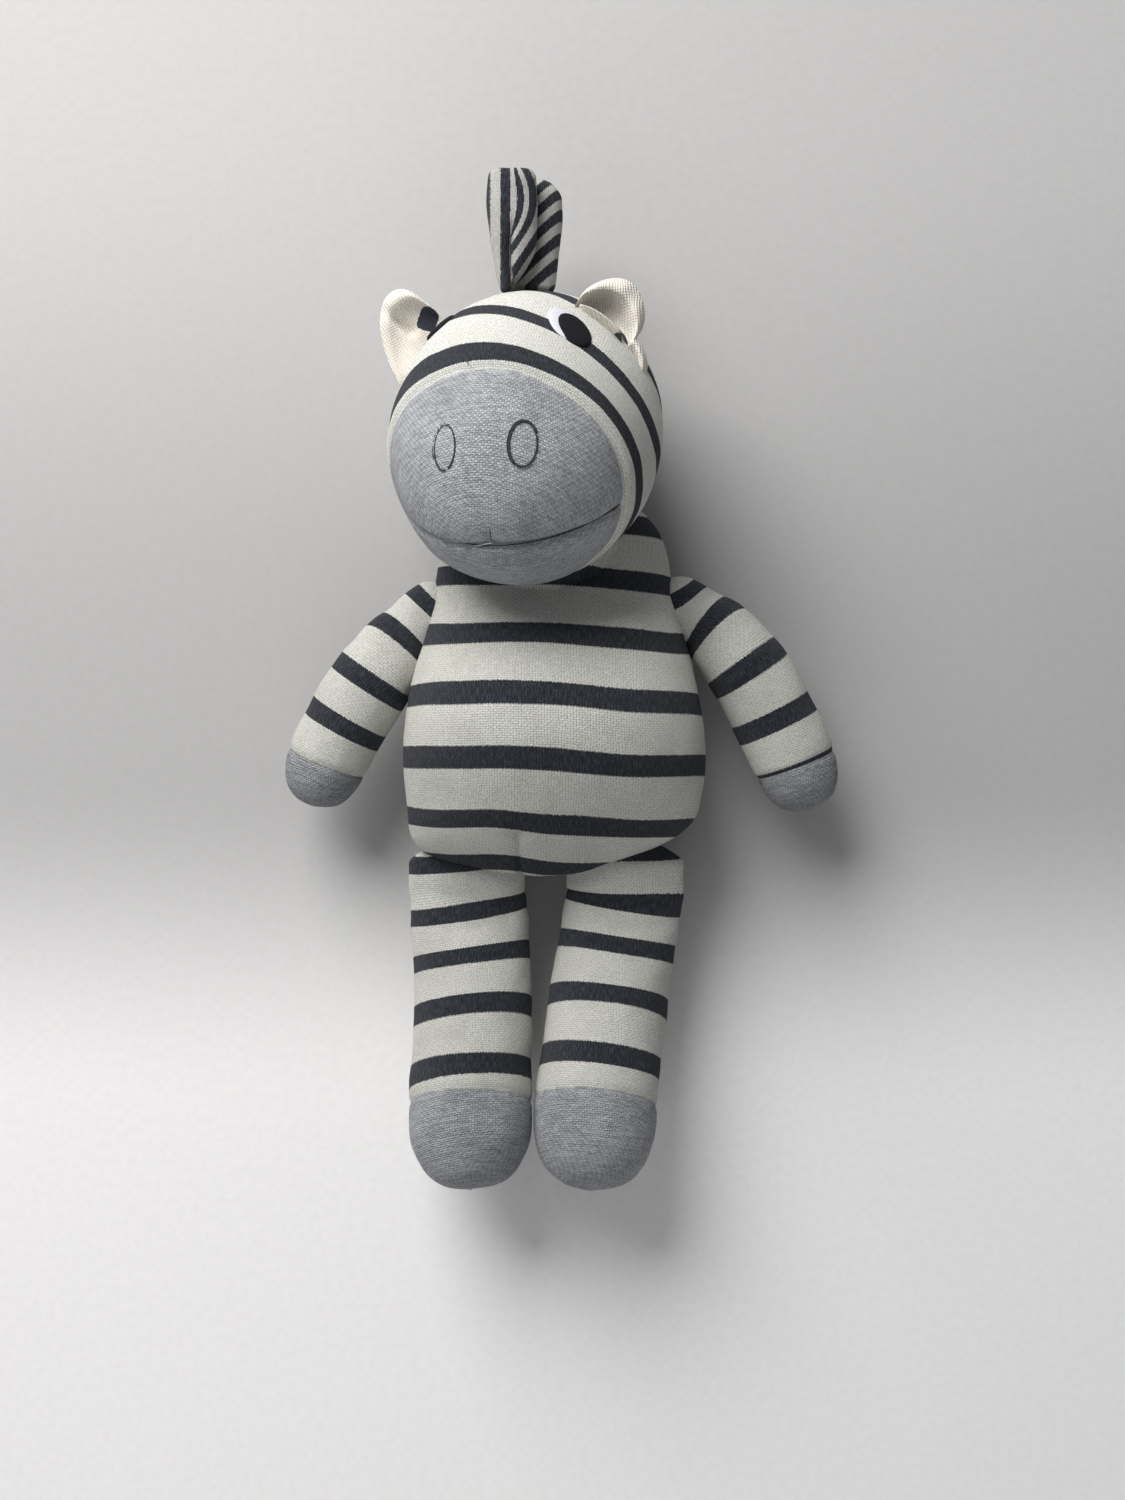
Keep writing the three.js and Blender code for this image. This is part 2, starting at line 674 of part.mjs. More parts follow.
// One layer of an ear: a thin curled leaf that stands on the head along its base
function earLayer(ear, offset) {
  const { point } = onHead(ear.base, 0);
  const face = new THREE.Vector3().crossVectors(ear.along, ear.out).normalize();
  const leaf = swollen(leafAround, earRows, (reach, sideways, upward) => {
    const angle = reach * Math.PI;
    const a = Math.sin(angle) * sideways;
    const height = earHeight * (0.5 - earRootReach * Math.cos(angle));
    const width = earHalfWidth * (1 - earTopNarrowing * Math.sin(angle / 2) ** 2) * a;
    const curl = earCurl * (a * a - earCurlShift) + offset + earLayerHalf * Math.sin(angle) * upward;
    return point.clone()
      .addScaledVector(ear.along, width)
      .addScaledVector(ear.out, height)
      .addScaledVector(face, curl);
  });
  const hinge = onHead(ear.base, earPivotRise).point;
  const skull = headForm(-earBaseGap, headAround, headRows);
  return cleared(leaf, skull, hinge, ear.along, [0, ...earFoldLimits]);
}

function addEar(side, ear) {
  addPiece(`${side}_ear_front`, earLayer(ear, earLayerHalf + seamGap / 2), finish(creamRib, knitRoughness));
  addPiece(`${side}_ear_back`, earLayer(ear, -earLayerHalf - seamGap / 2), finish(creamRib, knitRoughness));
}

// One soft lobe of the mane, gathered at its base and full near its top
function maneLobe(lobe) {
  const stations = smooth(lobe.map(([x, y, z]) => vec(x, y, z)));
  const sizes = smooth(lobe.map(([, , , halfWidth, halfDepth]) => vec(halfWidth, halfDepth, 0)));
  const form = swollen(leafAround, (lobe.length - 1) * maneRowsPerStation, (reach, sideways, upward) => {
    const middle = stations.getPoint(reach);
    const size = sizes.getPoint(reach);
    const ends = reach <= 0 || reach >= 1 ? 0 : 1;
    return vec(
      middle.x + Math.max(size.x, 0) * ends * sideways,
      middle.y,
      middle.z + Math.max(size.y, 0) * ends * upward,
    );
  });
  const skull = headForm(-earBaseGap, headAround, headRows);
  return cleared(form, skull, maneHinge, maneHingeWay, [0, ...maneFlopLimits]);
}

function addMane() {
  addPiece('mane_front_lobe', maneLobe(maneFront), finish(charcoal, knitRoughness));
  addPiece('mane_rear_lobe', maneLobe(maneRear), finish(charcoal, knitRoughness));
}

addBody();
addNeckSeam();
addHead();
addEye('left', leftEyePlace, leftEyeWhiteTurn);
addEye('right', rightEyePlace, rightEyeWhiteTurn);
addNostril('left', leftNostrilPlace);
addNostril('right', rightNostrilPlace);
addMouth();
addEar('left', leftEar);
addEar('right', rightEar);
addMane();
addArm('left', arms.left);
addArm('right', arms.right);
addLeg('left', legs.left);
addLeg('right', legs.right);

const zebra = new THREE.Group();
zebra.name = 'plush_zebra';
solids.forEach((piece) => zebra.add(piece));
export default zebra;
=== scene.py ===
import math

import bmesh
import bpy
import numpy as np
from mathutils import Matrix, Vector, noise


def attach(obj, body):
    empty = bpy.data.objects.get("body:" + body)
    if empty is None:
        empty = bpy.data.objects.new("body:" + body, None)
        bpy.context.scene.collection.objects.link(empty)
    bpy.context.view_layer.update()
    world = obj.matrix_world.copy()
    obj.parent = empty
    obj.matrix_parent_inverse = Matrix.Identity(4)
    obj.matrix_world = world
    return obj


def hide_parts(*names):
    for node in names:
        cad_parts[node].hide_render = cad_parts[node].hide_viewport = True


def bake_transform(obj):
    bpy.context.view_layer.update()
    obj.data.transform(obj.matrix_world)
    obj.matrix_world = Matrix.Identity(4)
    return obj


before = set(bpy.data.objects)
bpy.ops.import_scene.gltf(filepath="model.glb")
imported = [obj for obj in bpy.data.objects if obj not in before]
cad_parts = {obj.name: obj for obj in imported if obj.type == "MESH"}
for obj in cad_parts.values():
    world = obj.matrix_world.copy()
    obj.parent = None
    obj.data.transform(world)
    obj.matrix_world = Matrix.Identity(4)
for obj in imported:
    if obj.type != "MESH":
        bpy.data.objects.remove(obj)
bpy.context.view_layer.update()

# Sizes are in mm, and become metres where a mesh is made
MM = 0.001

# Camera: straight above the toy, with the photograph's framing. Places in the picture are in its pixels
IMAGE_WIDTH = 1125
IMAGE_HEIGHT = 1500
LENS = 50.0
SENSOR = 36.0
EYE = np.array([2.5, -11.7, 860.0])
FOCAL_PIXELS = LENS / SENSOR * IMAGE_HEIGHT

# Colours, as linear light
# The head's cream is painted lighter and the body's and limbs' cream darker than the one fabric they share:
# painted light on the head, painted shade on the body and limbs. The worn tones are random patches.
HEAD_CREAM_PAINTED_LIGHT = (0.93, 0.93, 0.895)
HEAD_CREAM_WORN_PAINTED_LIGHT = (0.88, 0.88, 0.835)
CREAM_PAINTED_SHADE = (0.80, 0.80, 0.765)
CREAM_WORN_PAINTED_SHADE = (0.72, 0.72, 0.68)
CHARCOAL = (0.020, 0.023, 0.031)
CHARCOAL_LIGHT = (0.060, 0.070, 0.092)
HEATHER_DARK = (0.34, 0.355, 0.388)
HEATHER_LIGHT = (0.66, 0.68, 0.715)
FINE_LIGHT = (0.62, 0.61, 0.595)
FINE_WORN = (0.56, 0.55, 0.535)
EAR_CREAM = (0.90, 0.88, 0.84)
EAR_SHADE = (0.80, 0.765, 0.70)
# Each thread colour has a lighter _LIT tone, which is painted on the threads' tops as a painted highlight.
BLACK = (0.004, 0.0045, 0.007)
BLACK_LIT = (0.010, 0.011, 0.016)
WHITE = (0.80, 0.81, 0.88)
WHITE_LIT = (0.85, 0.86, 0.92)
THREAD_DARK = (0.015, 0.017, 0.022)
THREAD_LIT = (0.07, 0.075, 0.09)
PAPER_DARK = (0.965, 0.96, 0.965)
PAPER_LIT = (1.0, 0.995, 1.0)

# Jersey: width of a column of stitches, height of a row, share of the dark stripes, and their distance
WALE = 1.07
COURSE = 0.86
STRIPE_SHARE = 0.36
STRIPE_PERIOD = 23.3
# Fine jersey of the mane
FINE_WALE = 0.8
FINE_COURSE = 0.65
FINE_SHARE = 0.54
# The ears' ribs and the embroidery's threads, from one to the next
RIB_PITCH = 1.02
RIB_ROW = 1.0
EMBROIDERY_PITCH = 0.45


def unit(v):
    v = np.asarray(v, float)
    return v / np.linalg.norm(v)


# Head: an egg along its own line, as in the CAD source, and the two planes of its seams: way and offset
HEAD_CENTRE = np.array([-11.24, 108.39, 61.98])
HEAD_HALF_WIDTH = 51.8
HEAD_HALF_LENGTH = 67.3
MUZZLE_WAY = unit([-0.19, -0.601, 0.776])
HEAD_ACROSS = unit(np.array([1.0, 0, 0]) - MUZZLE_WAY[0] * MUZZLE_WAY)
CHIN_WAY = np.cross(HEAD_ACROSS, MUZZLE_WAY)
# Multiplies a way from the centre into one that is 1 long at the head's surface
HEAD_SHAPE = np.stack([HEAD_ACROSS / HEAD_HALF_WIDTH, MUZZLE_WAY / HEAD_HALF_LENGTH,
                       CHIN_WAY / HEAD_HALF_WIDTH])
GREY_EDGE = (unit([-0.265, -0.609, 0.748]), 31.0)
MOUTH = (unit([-0.125, 0.817, 0.564]), -11.6)


# Curves

def curve_through(points, count):
    """A smooth curve through stations, as this many points."""
    p = np.asarray(points, float)
    ends = np.vstack([2 * p[0] - p[1], p, 2 * p[-1] - p[-2]])
    where = np.linspace(0, len(p) - 1, count)
    i = np.minimum(where.astype(int), len(p) - 2)
    t = (where - i)[:, None]
    a, b, c, d = ends[i], ends[i + 1], ends[i + 2], ends[i + 3]
    return 0.5 * (2 * b + (c - a) * t + (2 * a - 5 * b + 4 * c - d) * t**2 + (3 * b - a - 3 * c + d) * t**3)


def values_through(values, count):
    """The same for single values."""
    return curve_through(np.array(values, float)[:, None], count)[:, 0]


def lengths(points):
    """Distance along a line of points."""
    steps = np.linalg.norm(np.diff(points, axis=0), axis=1)
    return np.concatenate([[0], np.cumsum(steps)])


def resampled(points, places):
    """Points of a line at these distances along it."""
    along = lengths(points)
    return np.stack([np.interp(places, along, points[:, k]) for k in range(3)], axis=1)


def evenly_through(points, count):
    """A smooth curve through points, as this many points evenly apart."""
    fine = curve_through(points, 400)
    return resampled(fine, np.linspace(0, lengths(fine)[-1], count))


def beside(points, start, stop):
    """Each point's share of the way from start to stop, and its distance from that line."""
    line = stop - start
    along = np.clip((points - start) @ line / (line @ line), 0, 1)
    return along, np.linalg.norm(points - start - along[..., None] * line, axis=-1)


def oval(centre, half_wide, half_high, tilt, start=0.0, end=360.0, count=49):
    """Points of an oval or of an arc of it, between angles in degrees. A whole oval leaves out its last."""
    turn = np.radians(np.linspace(start, end, count))
    x, y = half_wide * np.cos(turn), half_high * np.sin(turn)
    c, s = math.cos(math.radians(tilt)), math.sin(math.radians(tilt))
    line = np.stack([centre[0] + x * c - y * s, centre[1] + x * s + y * c], axis=1)
    return line[:-1] if end - start >= 360 else line


def turns(count):
    """Angles evenly round a form."""
    return np.linspace(0, 2 * math.pi, count, endpoint=False)


def filled_out(value, power):
    """A sine or cosine that makes a rounded square of a circle, as the power goes below 1."""
    return np.sign(value) * np.abs(value) ** power


def eased(value, start, end):
    """Goes softly from 0 at the start to 1 at the end."""
    t = np.clip((value - start) / (end - start), 0, 1)
    return t * t * (3 - 2 * t)


def valley(distance, *shapes):
    """How far a seam pulls the fabric in, at a distance from it. Each shape is a width and a depth."""
    return sum(depth * np.exp(-((distance / width) ** 2)) for width, depth in shapes)


def lumps(points, size, amount, seed):
    """A smooth uneven height at each point, from -amount to amount."""
    shift = Vector((seed * 7.31, seed * 3.17, seed * 5.71))
    flat = points.reshape(-1, 3)
    out = np.array([noise.noise(Vector(p) / size + shift) for p in flat])
    return amount * out.reshape(points.shape[:-1])


def at_pixels(pixels, heights):
    """Points at these heights that the picture shows at these places."""
    pixels = np.atleast_2d(pixels).astype(float)
    heights = np.broadcast_to(np.asarray(heights, float), len(pixels))
    scale = (EYE[2] - heights) / FOCAL_PIXELS
    return np.stack([(pixels[:, 0] - IMAGE_WIDTH / 2) * scale + EYE[0],
                     -(pixels[:, 1] - IMAGE_HEIGHT / 2) * scale + EYE[1], heights], axis=1)


def pixels_of(points):
    """Where the picture shows points."""
    scale = (EYE[2] - points[..., 2]) / FOCAL_PIXELS
    return ((points[..., 0] - EYE[0]) / scale + IMAGE_WIDTH / 2,
            IMAGE_HEIGHT / 2 - (points[..., 1] - EYE[1]) / scale)


# Meshes

def surface_normals(grid):
    """Outward normals of a closed tube of rows and columns of points."""
    along = np.gradient(grid, axis=0)
    around = np.roll(grid, -1, axis=1) - np.roll(grid, 1, axis=1)
    n = np.cross(around, along)
    n = n / np.maximum(np.linalg.norm(n, axis=2, keepdims=True), 1e-9)
    middle = grid.mean(axis=1, keepdims=True)
    return n if np.sum(n * (grid - middle)) >= 0 else -n


def panels(grid, seams):
    """The knit's place across each panel between seams, from the panel's middle: at each face's two sides."""
    rows, around = grid.shape[:2]
    step = np.linalg.norm(np.roll(grid, -1, axis=1) - grid, axis=2)
    start, end = np.zeros((rows, around)), np.zeros((rows, around))
    for k, first in enumerate(seams):
        count = (seams[(k + 1) % len(seams)] - first) % around or around
        columns = (first + np.arange(count)) % around
        run = np.cumsum(step[:, columns], axis=1)
        middle = run[:, -1:] / 2
        start[:, columns] = run - step[:, columns] - middle
        end[:, columns] = run - middle
    return start, end


def added(name, data):
    """An object in the scene."""
    obj = bpy.data.objects.new(name, data)
    bpy.context.scene.collection.objects.link(obj)
    return obj


def finished(name, mesh):
    """An object of a mesh, smooth and with its faces out."""
    work = bmesh.new()
    work.from_mesh(mesh)
    bmesh.ops.recalc_face_normals(work, faces=work.faces)
    work.to_mesh(mesh)
    work.free()
    mesh.shade_smooth()
    return added(name, mesh)


def set_phase(mesh, phase):
    """Gives each point its place in the count of dark stripes, or its share of a dark patch."""
    attribute = mesh.attributes.new("phase", "FLOAT", "POINT")
    attribute.data.foreach_set("value", phase.astype(np.float32))


def set_knit(mesh, u, v):
    """Gives each point its place in the knit: across the columns of stitches and along them."""
    corners = np.empty(len(mesh.loops), np.int32)
    mesh.loops.foreach_get("vertex_index", corners)
    layer = mesh.uv_layers.get("knit") or mesh.uv_layers.new(name="knit")
    layer.data.foreach_set("uv", np.stack([u, v], axis=1)[corners].astype(np.float32).ravel())


def tube_mesh(name, grid, knit, rise, phase):
    """A closed form from rows of points round it; its first and last rows close to one point.
    knit gives the places across the knit at each face's two sides, and rise each point's place along it."""
    rows, around = grid.shape[:2]
    start, end = knit
    first, last = grid[0].mean(axis=0), grid[-1].mean(axis=0)
    points = np.vstack([[first], grid[1:-1].reshape(-1, 3), [last]]) * MM
    faces, places = [], []
    for r in range(rows - 1):
        for a in range(around):
            b = (a + 1) % around
            low, high = 1 + (r - 1) * around, 1 + r * around
            near = [(low + a, start[r, a], rise[r, a]), (low + b, end[r, a], rise[r, b])]
            far = [(high + b, end[r + 1, a], rise[r + 1, b]), (high + a, start[r + 1, a], rise[r + 1, a])]
            if r == 0:
                near = [(0, (start[1, a] + end[1, a]) / 2, rise[0, a])]
            if r == rows - 2:
                far = [(len(points) - 1, (start[r, a] + end[r, a]) / 2, rise[-1, a])]
            faces.append([corner[0] for corner in near + far])
            places += [corner[1:] for corner in near + far]
    mesh = bpy.data.meshes.new(name)
    mesh.from_pydata(points.tolist(), [], faces)
    mesh.uv_layers.new(name="knit").data.foreach_set("uv", np.array(places, np.float32).ravel())
    set_phase(mesh, np.concatenate([[phase[0].mean()], phase[1:-1].ravel(), [phase[-1].mean()]]))
    return finished(name, mesh)


def shell_mesh(name, front, back, knit_u, knit_v, phase):
    """A thin closed shell from two sheets of points, rows by columns, that meet round their rim."""
    rows, cols = front.shape[:2]
    points = np.vstack([front.reshape(-1, 3), back.reshape(-1, 3)]) * MM
    half = rows * cols
    faces = []
    for r in range(rows - 1):
        for c in range(cols - 1):
            low, high = r * cols + c, (r + 1) * cols + c
            quad = (low, low + 1, high + 1, high)
            faces += [quad, tuple(half + corner for corner in reversed(quad))]
    index = np.arange(half).reshape(rows, cols)
    rim = np.concatenate([index[0], index[1:, -1], index[-1, -2::-1], index[-2:0:-1, 0]]).tolist()
    for k, a in enumerate(rim):
        b = rim[(k + 1) % len(rim)]
        faces.append((b, a, half + a, half + b))
    mesh = bpy.data.meshes.new(name)
    mesh.from_pydata(points.tolist(), [], faces)
    set_knit(mesh, np.tile(knit_u.ravel(), 2), np.tile(knit_v.ravel(), 2))
    set_phase(mesh, np.concatenate([phase.ravel(), np.zeros(half)]))
    return finished(name, mesh)


def cut_part(source, name, planes):
    """The part of a closed form on the inner side of each plane, closed there. A plane is its way and its
    distance from the origin."""
    work = bmesh.new()
    work.from_mesh(source.data)
    for way, offset in planes:
        geometry = list(work.verts) + list(work.edges) + list(work.faces)
        cut = bmesh.ops.bisect_plane(work, geom=geometry, dist=1e-7, plane_co=Vector(way * offset) * MM,
                                     plane_no=Vector(way), clear_outer=True)
        rim = [e for e in cut["geom_cut"] if isinstance(e, bmesh.types.BMEdge)]
        caps = bmesh.ops.contextual_create(work, geom=rim)["faces"]
        if not caps:
            caps = bmesh.ops.holes_fill(work, edges=rim, sides=0)["faces"]
        bmesh.ops.triangulate(work, faces=caps)
    mesh = bpy.data.meshes.new(name)
    work.to_mesh(mesh)
    work.free()
    return finished(name, mesh)


def strand(name, points, radius, closed):
    """A thread through points."""
    curve = bpy.data.curves.new(name, "CURVE")
    curve.dimensions = "3D"
    curve.bevel_depth = radius * MM
    curve.bevel_resolution = 2
    curve.use_fill_caps = True
    line = curve.splines.new("POLY")
    line.points.add(len(points) - 1)
    flat = np.hstack([np.asarray(points) * MM, np.ones((len(points), 1))])
    line.points.foreach_set("co", flat.astype(np.float32).ravel())
    line.use_cyclic_u = closed
    obj = added(name + "_line", curve)
    made = bpy.data.meshes.new_from_object(obj.evaluated_get(bpy.context.evaluated_depsgraph_get()))
    bpy.data.objects.remove(obj)
    made.name = name
    return finished(name, made)


# Materials

class Shader:
    """Short ways to make a material's nodes."""

    def __init__(self, name, roughness, sheen):
        self.material = bpy.data.materials.new(name)
        self.material.use_nodes = True
        self.tree = self.material.node_tree
        self.shader = self.tree.nodes["Principled BSDF"]
        self.shader.inputs["Roughness"].default_value = roughness
        self.shader.inputs["Specular IOR Level"].default_value = 0.2
        self.shader.inputs["Sheen Weight"].default_value = sheen
        self.shader.inputs["Sheen Roughness"].default_value = 0.45

    def node(self, kind, **settings):
        made = self.tree.nodes.new(kind)
        for key, value in settings.items():
            setattr(made, key, value)
        return made

    def link(self, source, socket):
        if hasattr(source, "is_linked"):
            self.tree.links.new(source, socket)
        else:
            socket.default_value = source

    def math(self, operation, *values):
        made = self.node("ShaderNodeMath", operation=operation)
        for value, socket in zip(values, made.inputs):
            self.link(value, socket)
        return made.outputs[0]

    def add(self, a, b):
        return self.math("ADD", a, b)

    def times(self, a, b):
        return self.math("MULTIPLY", a, b)

    def line(self, value, slope, start):
        """value * slope + start"""
        return self.math("MULTIPLY_ADD", value, slope, start)

    def ridge(self, place):
        """0 in the middle of each whole step of a place, and 1 at its two ends."""
        return self.times(self.math("ABSOLUTE", self.add(self.math("FRACT", place), -0.5)), 2.0)

    def wave(self, place, pitch):
        """From -1 to 1 and back in each pitch."""
        return self.math("SINE", self.times(place, 2 * math.pi / pitch))

    def step(self, value, low, high):
        """Goes softly from 0 at the low value to 1 at the high one."""
        made = self.node("ShaderNodeMapRange", interpolation_type="SMOOTHSTEP")
        self.link(value, made.inputs[0])
        made.inputs[1].default_value = low
        made.inputs[2].default_value = high
        return made.outputs[0]

    def mix(self, share, a, b, blend="MIX"):
        """Colour a where the share is 0, and b where it is 1."""
        made = self.node("ShaderNodeMix", data_type="RGBA", blend_type=blend)
        self.link(share, made.inputs[0])
        for value, socket in ((a, made.inputs[6]), (b, made.inputs[7])):
            self.link((*value, 1.0) if isinstance(value, tuple) else value, socket)
        return made.outputs[2]

    def scaled(self, colour, red, green, blue):
        return self.mix(1.0, colour, self.vector(red, green, blue), "MULTIPLY")

    def vector(self, x, y, z=0.0):
        """A place or a colour of three values."""
        made = self.node("ShaderNodeCombineXYZ")
        for value, socket in zip((x, y, z), made.inputs):
            self.link(value, socket)
        return made.outputs[0]

    def split(self, vector):
        made = self.node("ShaderNodeSeparateXYZ")
        self.link(vector, made.inputs[0])
        return made.outputs[0], made.outputs[1]

    def knit(self):
        return self.split(self.node("ShaderNodeUVMap", uv_map="knit").outputs[0])

    def phase(self):
        return self.node("ShaderNodeAttribute", attribute_name="phase").outputs["Fac"]

    def place(self):
        return self.node("ShaderNodeTexCoord").outputs["Object"]

    def noise(self, vector, scale, detail):
        made = self.node("ShaderNodeTexNoise")
        self.link(vector, made.inputs["Vector"])
        made.inputs["Scale"].default_value = scale
        made.inputs["Detail"].default_value = detail
        return made.outputs[0]

    def streaks(self, u, v, across, along, scale, detail):
        """Noise with its own scale across the knit and along it."""
        return self.noise(self.vector(self.times(u, across), self.times(v, along)), scale, detail)

    def finish(self, colour, height, depth):
        self.link(colour, self.shader.inputs["Base Color"])
        bump = self.node("ShaderNodeBump")
        bump.inputs["Strength"].default_value = 1.0
        bump.inputs["Distance"].default_value = depth * MM
        self.link(height, bump.inputs["Height"])
        self.link(bump.outputs[0], self.shader.inputs["Normal"])
        return self.material


def stitches(s, wale, course, leg, slant):
    """The V stitches of jersey: their height, how near a column's edge a place is, and the place in the knit.
    leg is the height's slope and start from a column's middle to its edge, and slant how steep the V is."""
    u, v = s.knit()
    warp = s.line(s.noise(s.vector(u, v), 0.16, 2.0), 1.4, -0.7)
    across = s.math("DIVIDE", s.add(u, warp), wale)
    rise = s.math("DIVIDE", s.add(v, s.times(warp, 0.6)), course)
    edge = s.ridge(across)
    gap = s.ridge(s.add(rise, s.times(edge, slant)))
    round_row = s.line(s.math("POWER", gap, 2.4), -1.0, 1.0)
    round_leg = s.math("SINE", s.line(edge, *leg))
    turn_u, turn_v = (s.math("COSINE", s.times(place, math.pi)) for place in (across, rise))
    hole = s.step(s.times(turn_u, turn_v), 0.25, 0.95)
    return s.times(s.times(round_row, round_leg), s.line(hole, -0.75, 1.0)), edge, u, v


def striped_knit(name, light, worn, dark_share, wale=WALE, course=COURSE, depth=0.38, fuzz=0.010):
    """Jersey with dark stripes where the phase is near a whole number."""
    s = Shader(name, 0.95, 0.08)
    height, edge, u, v = stitches(s, wale, course, leg=(2.5, 0.45), slant=0.55)
    wander = s.times(s.add(s.noise(s.vector(u, v), 0.9, 3.0), -0.5), fuzz * 4)
    phase = s.add(s.add(s.phase(), wander), s.times(edge, fuzz * 1.6))
    cream_share = s.step(s.ridge(s.add(phase, 0.5)), dark_share - 2 * fuzz, dark_share + 2 * fuzz)
    dark_knit = s.mix(s.step(s.streaks(u, v, 1.9, 0.35, 1.0, 3.0), 0.38, 0.72), CHARCOAL, CHARCOAL_LIGHT)
    light_knit = s.mix(s.step(s.noise(s.place(), 60.0, 4.0), 0.35, 0.8), light, worn)
    colour = s.mix(cream_share, dark_knit, light_knit)
    fleck = s.line(s.streaks(u, v, 0.8, 1.0, 0.9, 2.0), 0.5, -0.25)
    # shade paints the stitches' grooves and holes darker where the knit's height is low (painted shade). The
    # blue channel gets more of it, so the grooves look warmer. fleck adds random mottling to both.
    shade = s.add(s.line(height, 0.46, 0.64), fleck)
    painted_warm_shade_and_fleck = s.add(s.line(height, 0.48, 0.615), fleck)
    return s.finish(s.scaled(colour, shade, shade, painted_warm_shade_and_fleck), height, depth)


def heather_knit(name, tone):
    """Jersey of mixed grey and white fibre: short pale and dark dashes along each row."""
    s = Shader(name, 0.95, 0.08)
    height, edge, u, v = stitches(s, WALE, COURSE, leg=(2.1, 0.12), slant=0.45)
    dashes = s.times(s.streaks(u, v, 0.42, 1.7, 1.0, 4.0), 0.55)
    long_streaks = s.times(s.streaks(u, v, 0.10, 0.75, 1.0, 3.0), 0.35)
    clouds = s.times(s.noise(s.place(), 45.0, 3.0), 0.22)
    share = s.add(s.add(dashes, long_streaks), clouds)
    # tone scales both fibre colours; the feet's and hands' tones below 1 are painted shade.
    dark, light = (tuple(tone * c for c in colour) for colour in (HEATHER_DARK, HEATHER_LIGHT))
    # Stitch grooves and holes are painted darker where the knit's height is low: painted shade.
    shade = s.line(height, 0.74, 0.50)
    colour = s.mix(s.step(share, 0.43, 0.69), dark, light)
    return s.finish(s.scaled(colour, shade, shade, shade), height, 0.42)


def rib_knit(name):
    """Narrow ribs that run up the ear, with a dark patch near its root."""
    s = Shader(name, 0.95, 0.1)
    u, v = s.knit()
    warp = s.line(s.noise(s.vector(u, v), 0.22, 2.0), 1.6, -0.8)
    ribs = s.line(s.wave(s.add(u, warp), RIB_PITCH), 0.45, 0.5)
    height = s.line(s.wave(v, RIB_ROW), 0.2, ribs)
    wander = s.times(s.add(s.noise(s.vector(u, v), 0.8, 3.0), -0.5), 0.3)
    patch_share = s.step(s.add(s.phase(), wander), 0.44, 0.56)
    light = s.mix(s.step(s.noise(s.place(), 70.0, 4.0), 0.3, 0.8), EAR_CREAM, EAR_SHADE)
    dark = s.mix(s.streaks(u, v, 2.0, 0.4, 1.0, 3.0), CHARCOAL, CHARCOAL_LIGHT)
    # Rib grooves are painted darker and warmer where the height is low: painted shade.
    shades = (s.line(height, slope, start) for slope, start in ((0.18, 0.83), (0.20, 0.80), (0.24, 0.75)))
    return s.finish(s.scaled(s.mix(patch_share, light, dark), *shades), height, 0.22)


def embroidery(name, base, lit):
    """Dense parallel threads."""
    s = Shader(name, 0.75, 0.0)
    u, v = s.knit()
    threads = s.wave(s.add(u, s.times(v, 0.25)), EMBROIDERY_PITCH)
    height = s.add(s.times(threads, 0.5), s.streaks(u, v, 2.0, 0.3, 1.0, 2.0))
    # Thread tops are painted with the lit colour (painted highlight), and the gaps between threads are
    # painted darker at base times 0.75 (painted shade).
    return s.finish(s.mix(s.step(height, 0.1, 1.1), tuple(c * 0.75 for c in base), lit), height, 0.12)


def twisted_thread(name):
    s = Shader(name, 0.7, 0.1)
    twist = s.node("ShaderNodeTexWave", wave_type="BANDS", bands_direction="DIAGONAL")
    s.link(s.place(), twist.inputs["Vector"])
    twist.inputs["Scale"].default_value = 900.0
    twist.inputs["Distortion"].default_value = 2.0
    # The twist's raised bands are painted lighter and its grooves darker: painted highlight and shade.
    return s.finish(s.mix(twist.outputs[1], THREAD_DARK, THREAD_LIT), twist.outputs[1], 0.1)


# Each fabric is its material and the name of its slot
# The head's jersey has the painted-light cream, and the body's and sleeves' jersey has the painted-shade
# cream.
STRIPED_PAINTED_SHADE = (striped_knit("striped_jersey_painted_shade", CREAM_PAINTED_SHADE, CREAM_WORN_PAINTED_SHADE, STRIPE_SHARE), "striped_knit")
HEAD_STRIPED_PAINTED_LIGHT = (striped_knit("head_striped_jersey_painted_light", HEAD_CREAM_PAINTED_LIGHT, HEAD_CREAM_WORN_PAINTED_LIGHT, STRIPE_SHARE),
                "striped_knit")
FINE = (striped_knit("fine_striped_jersey", FINE_LIGHT, FINE_WORN, FINE_SHARE, FINE_WALE, FINE_COURSE,
                     depth=0.22, fuzz=0.03), "fine_stripe_knit")
HEATHER = (heather_knit("heather_jersey", 1.04), "heather_knit")
# The feet's heather is the muzzle's fabric painted darker, and the hands' is darker still: painted shade.
LIMB_HEATHER_PAINTED_SHADE = (heather_knit("limb_heather_jersey_painted_shade", 0.80), "heather_knit")
HAND_HEATHER_PAINTED_SHADE = (heather_knit("hand_heather_jersey_painted_shade", 0.66), "heather_knit")
RIB = (rib_knit("ribbed_knit"), "rib_knit")
EYE_BLACK = (embroidery("black_embroidery", BLACK, BLACK_LIT), "black_embroidery")
EYE_WHITE = (embroidery("white_embroidery", WHITE, WHITE_LIT), "white_embroidery")
THREAD = (twisted_thread("charcoal_thread"), "thread")


def dress(obj, fabric, body, nodes=()):
    """Gives a piece its fabric, the body it rides and the CAD nodes it stands for."""
    material, slot = fabric
    obj.data.materials.clear()
    obj.data.materials.append(material)
    if body:
        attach(obj, body)
    if nodes:
        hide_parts(*nodes)


def bend_at_root(obj, root):
    """Bakes a piece's place into its mesh; its root is not used."""
    root = np.array(root, float)
    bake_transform(obj)


# Head

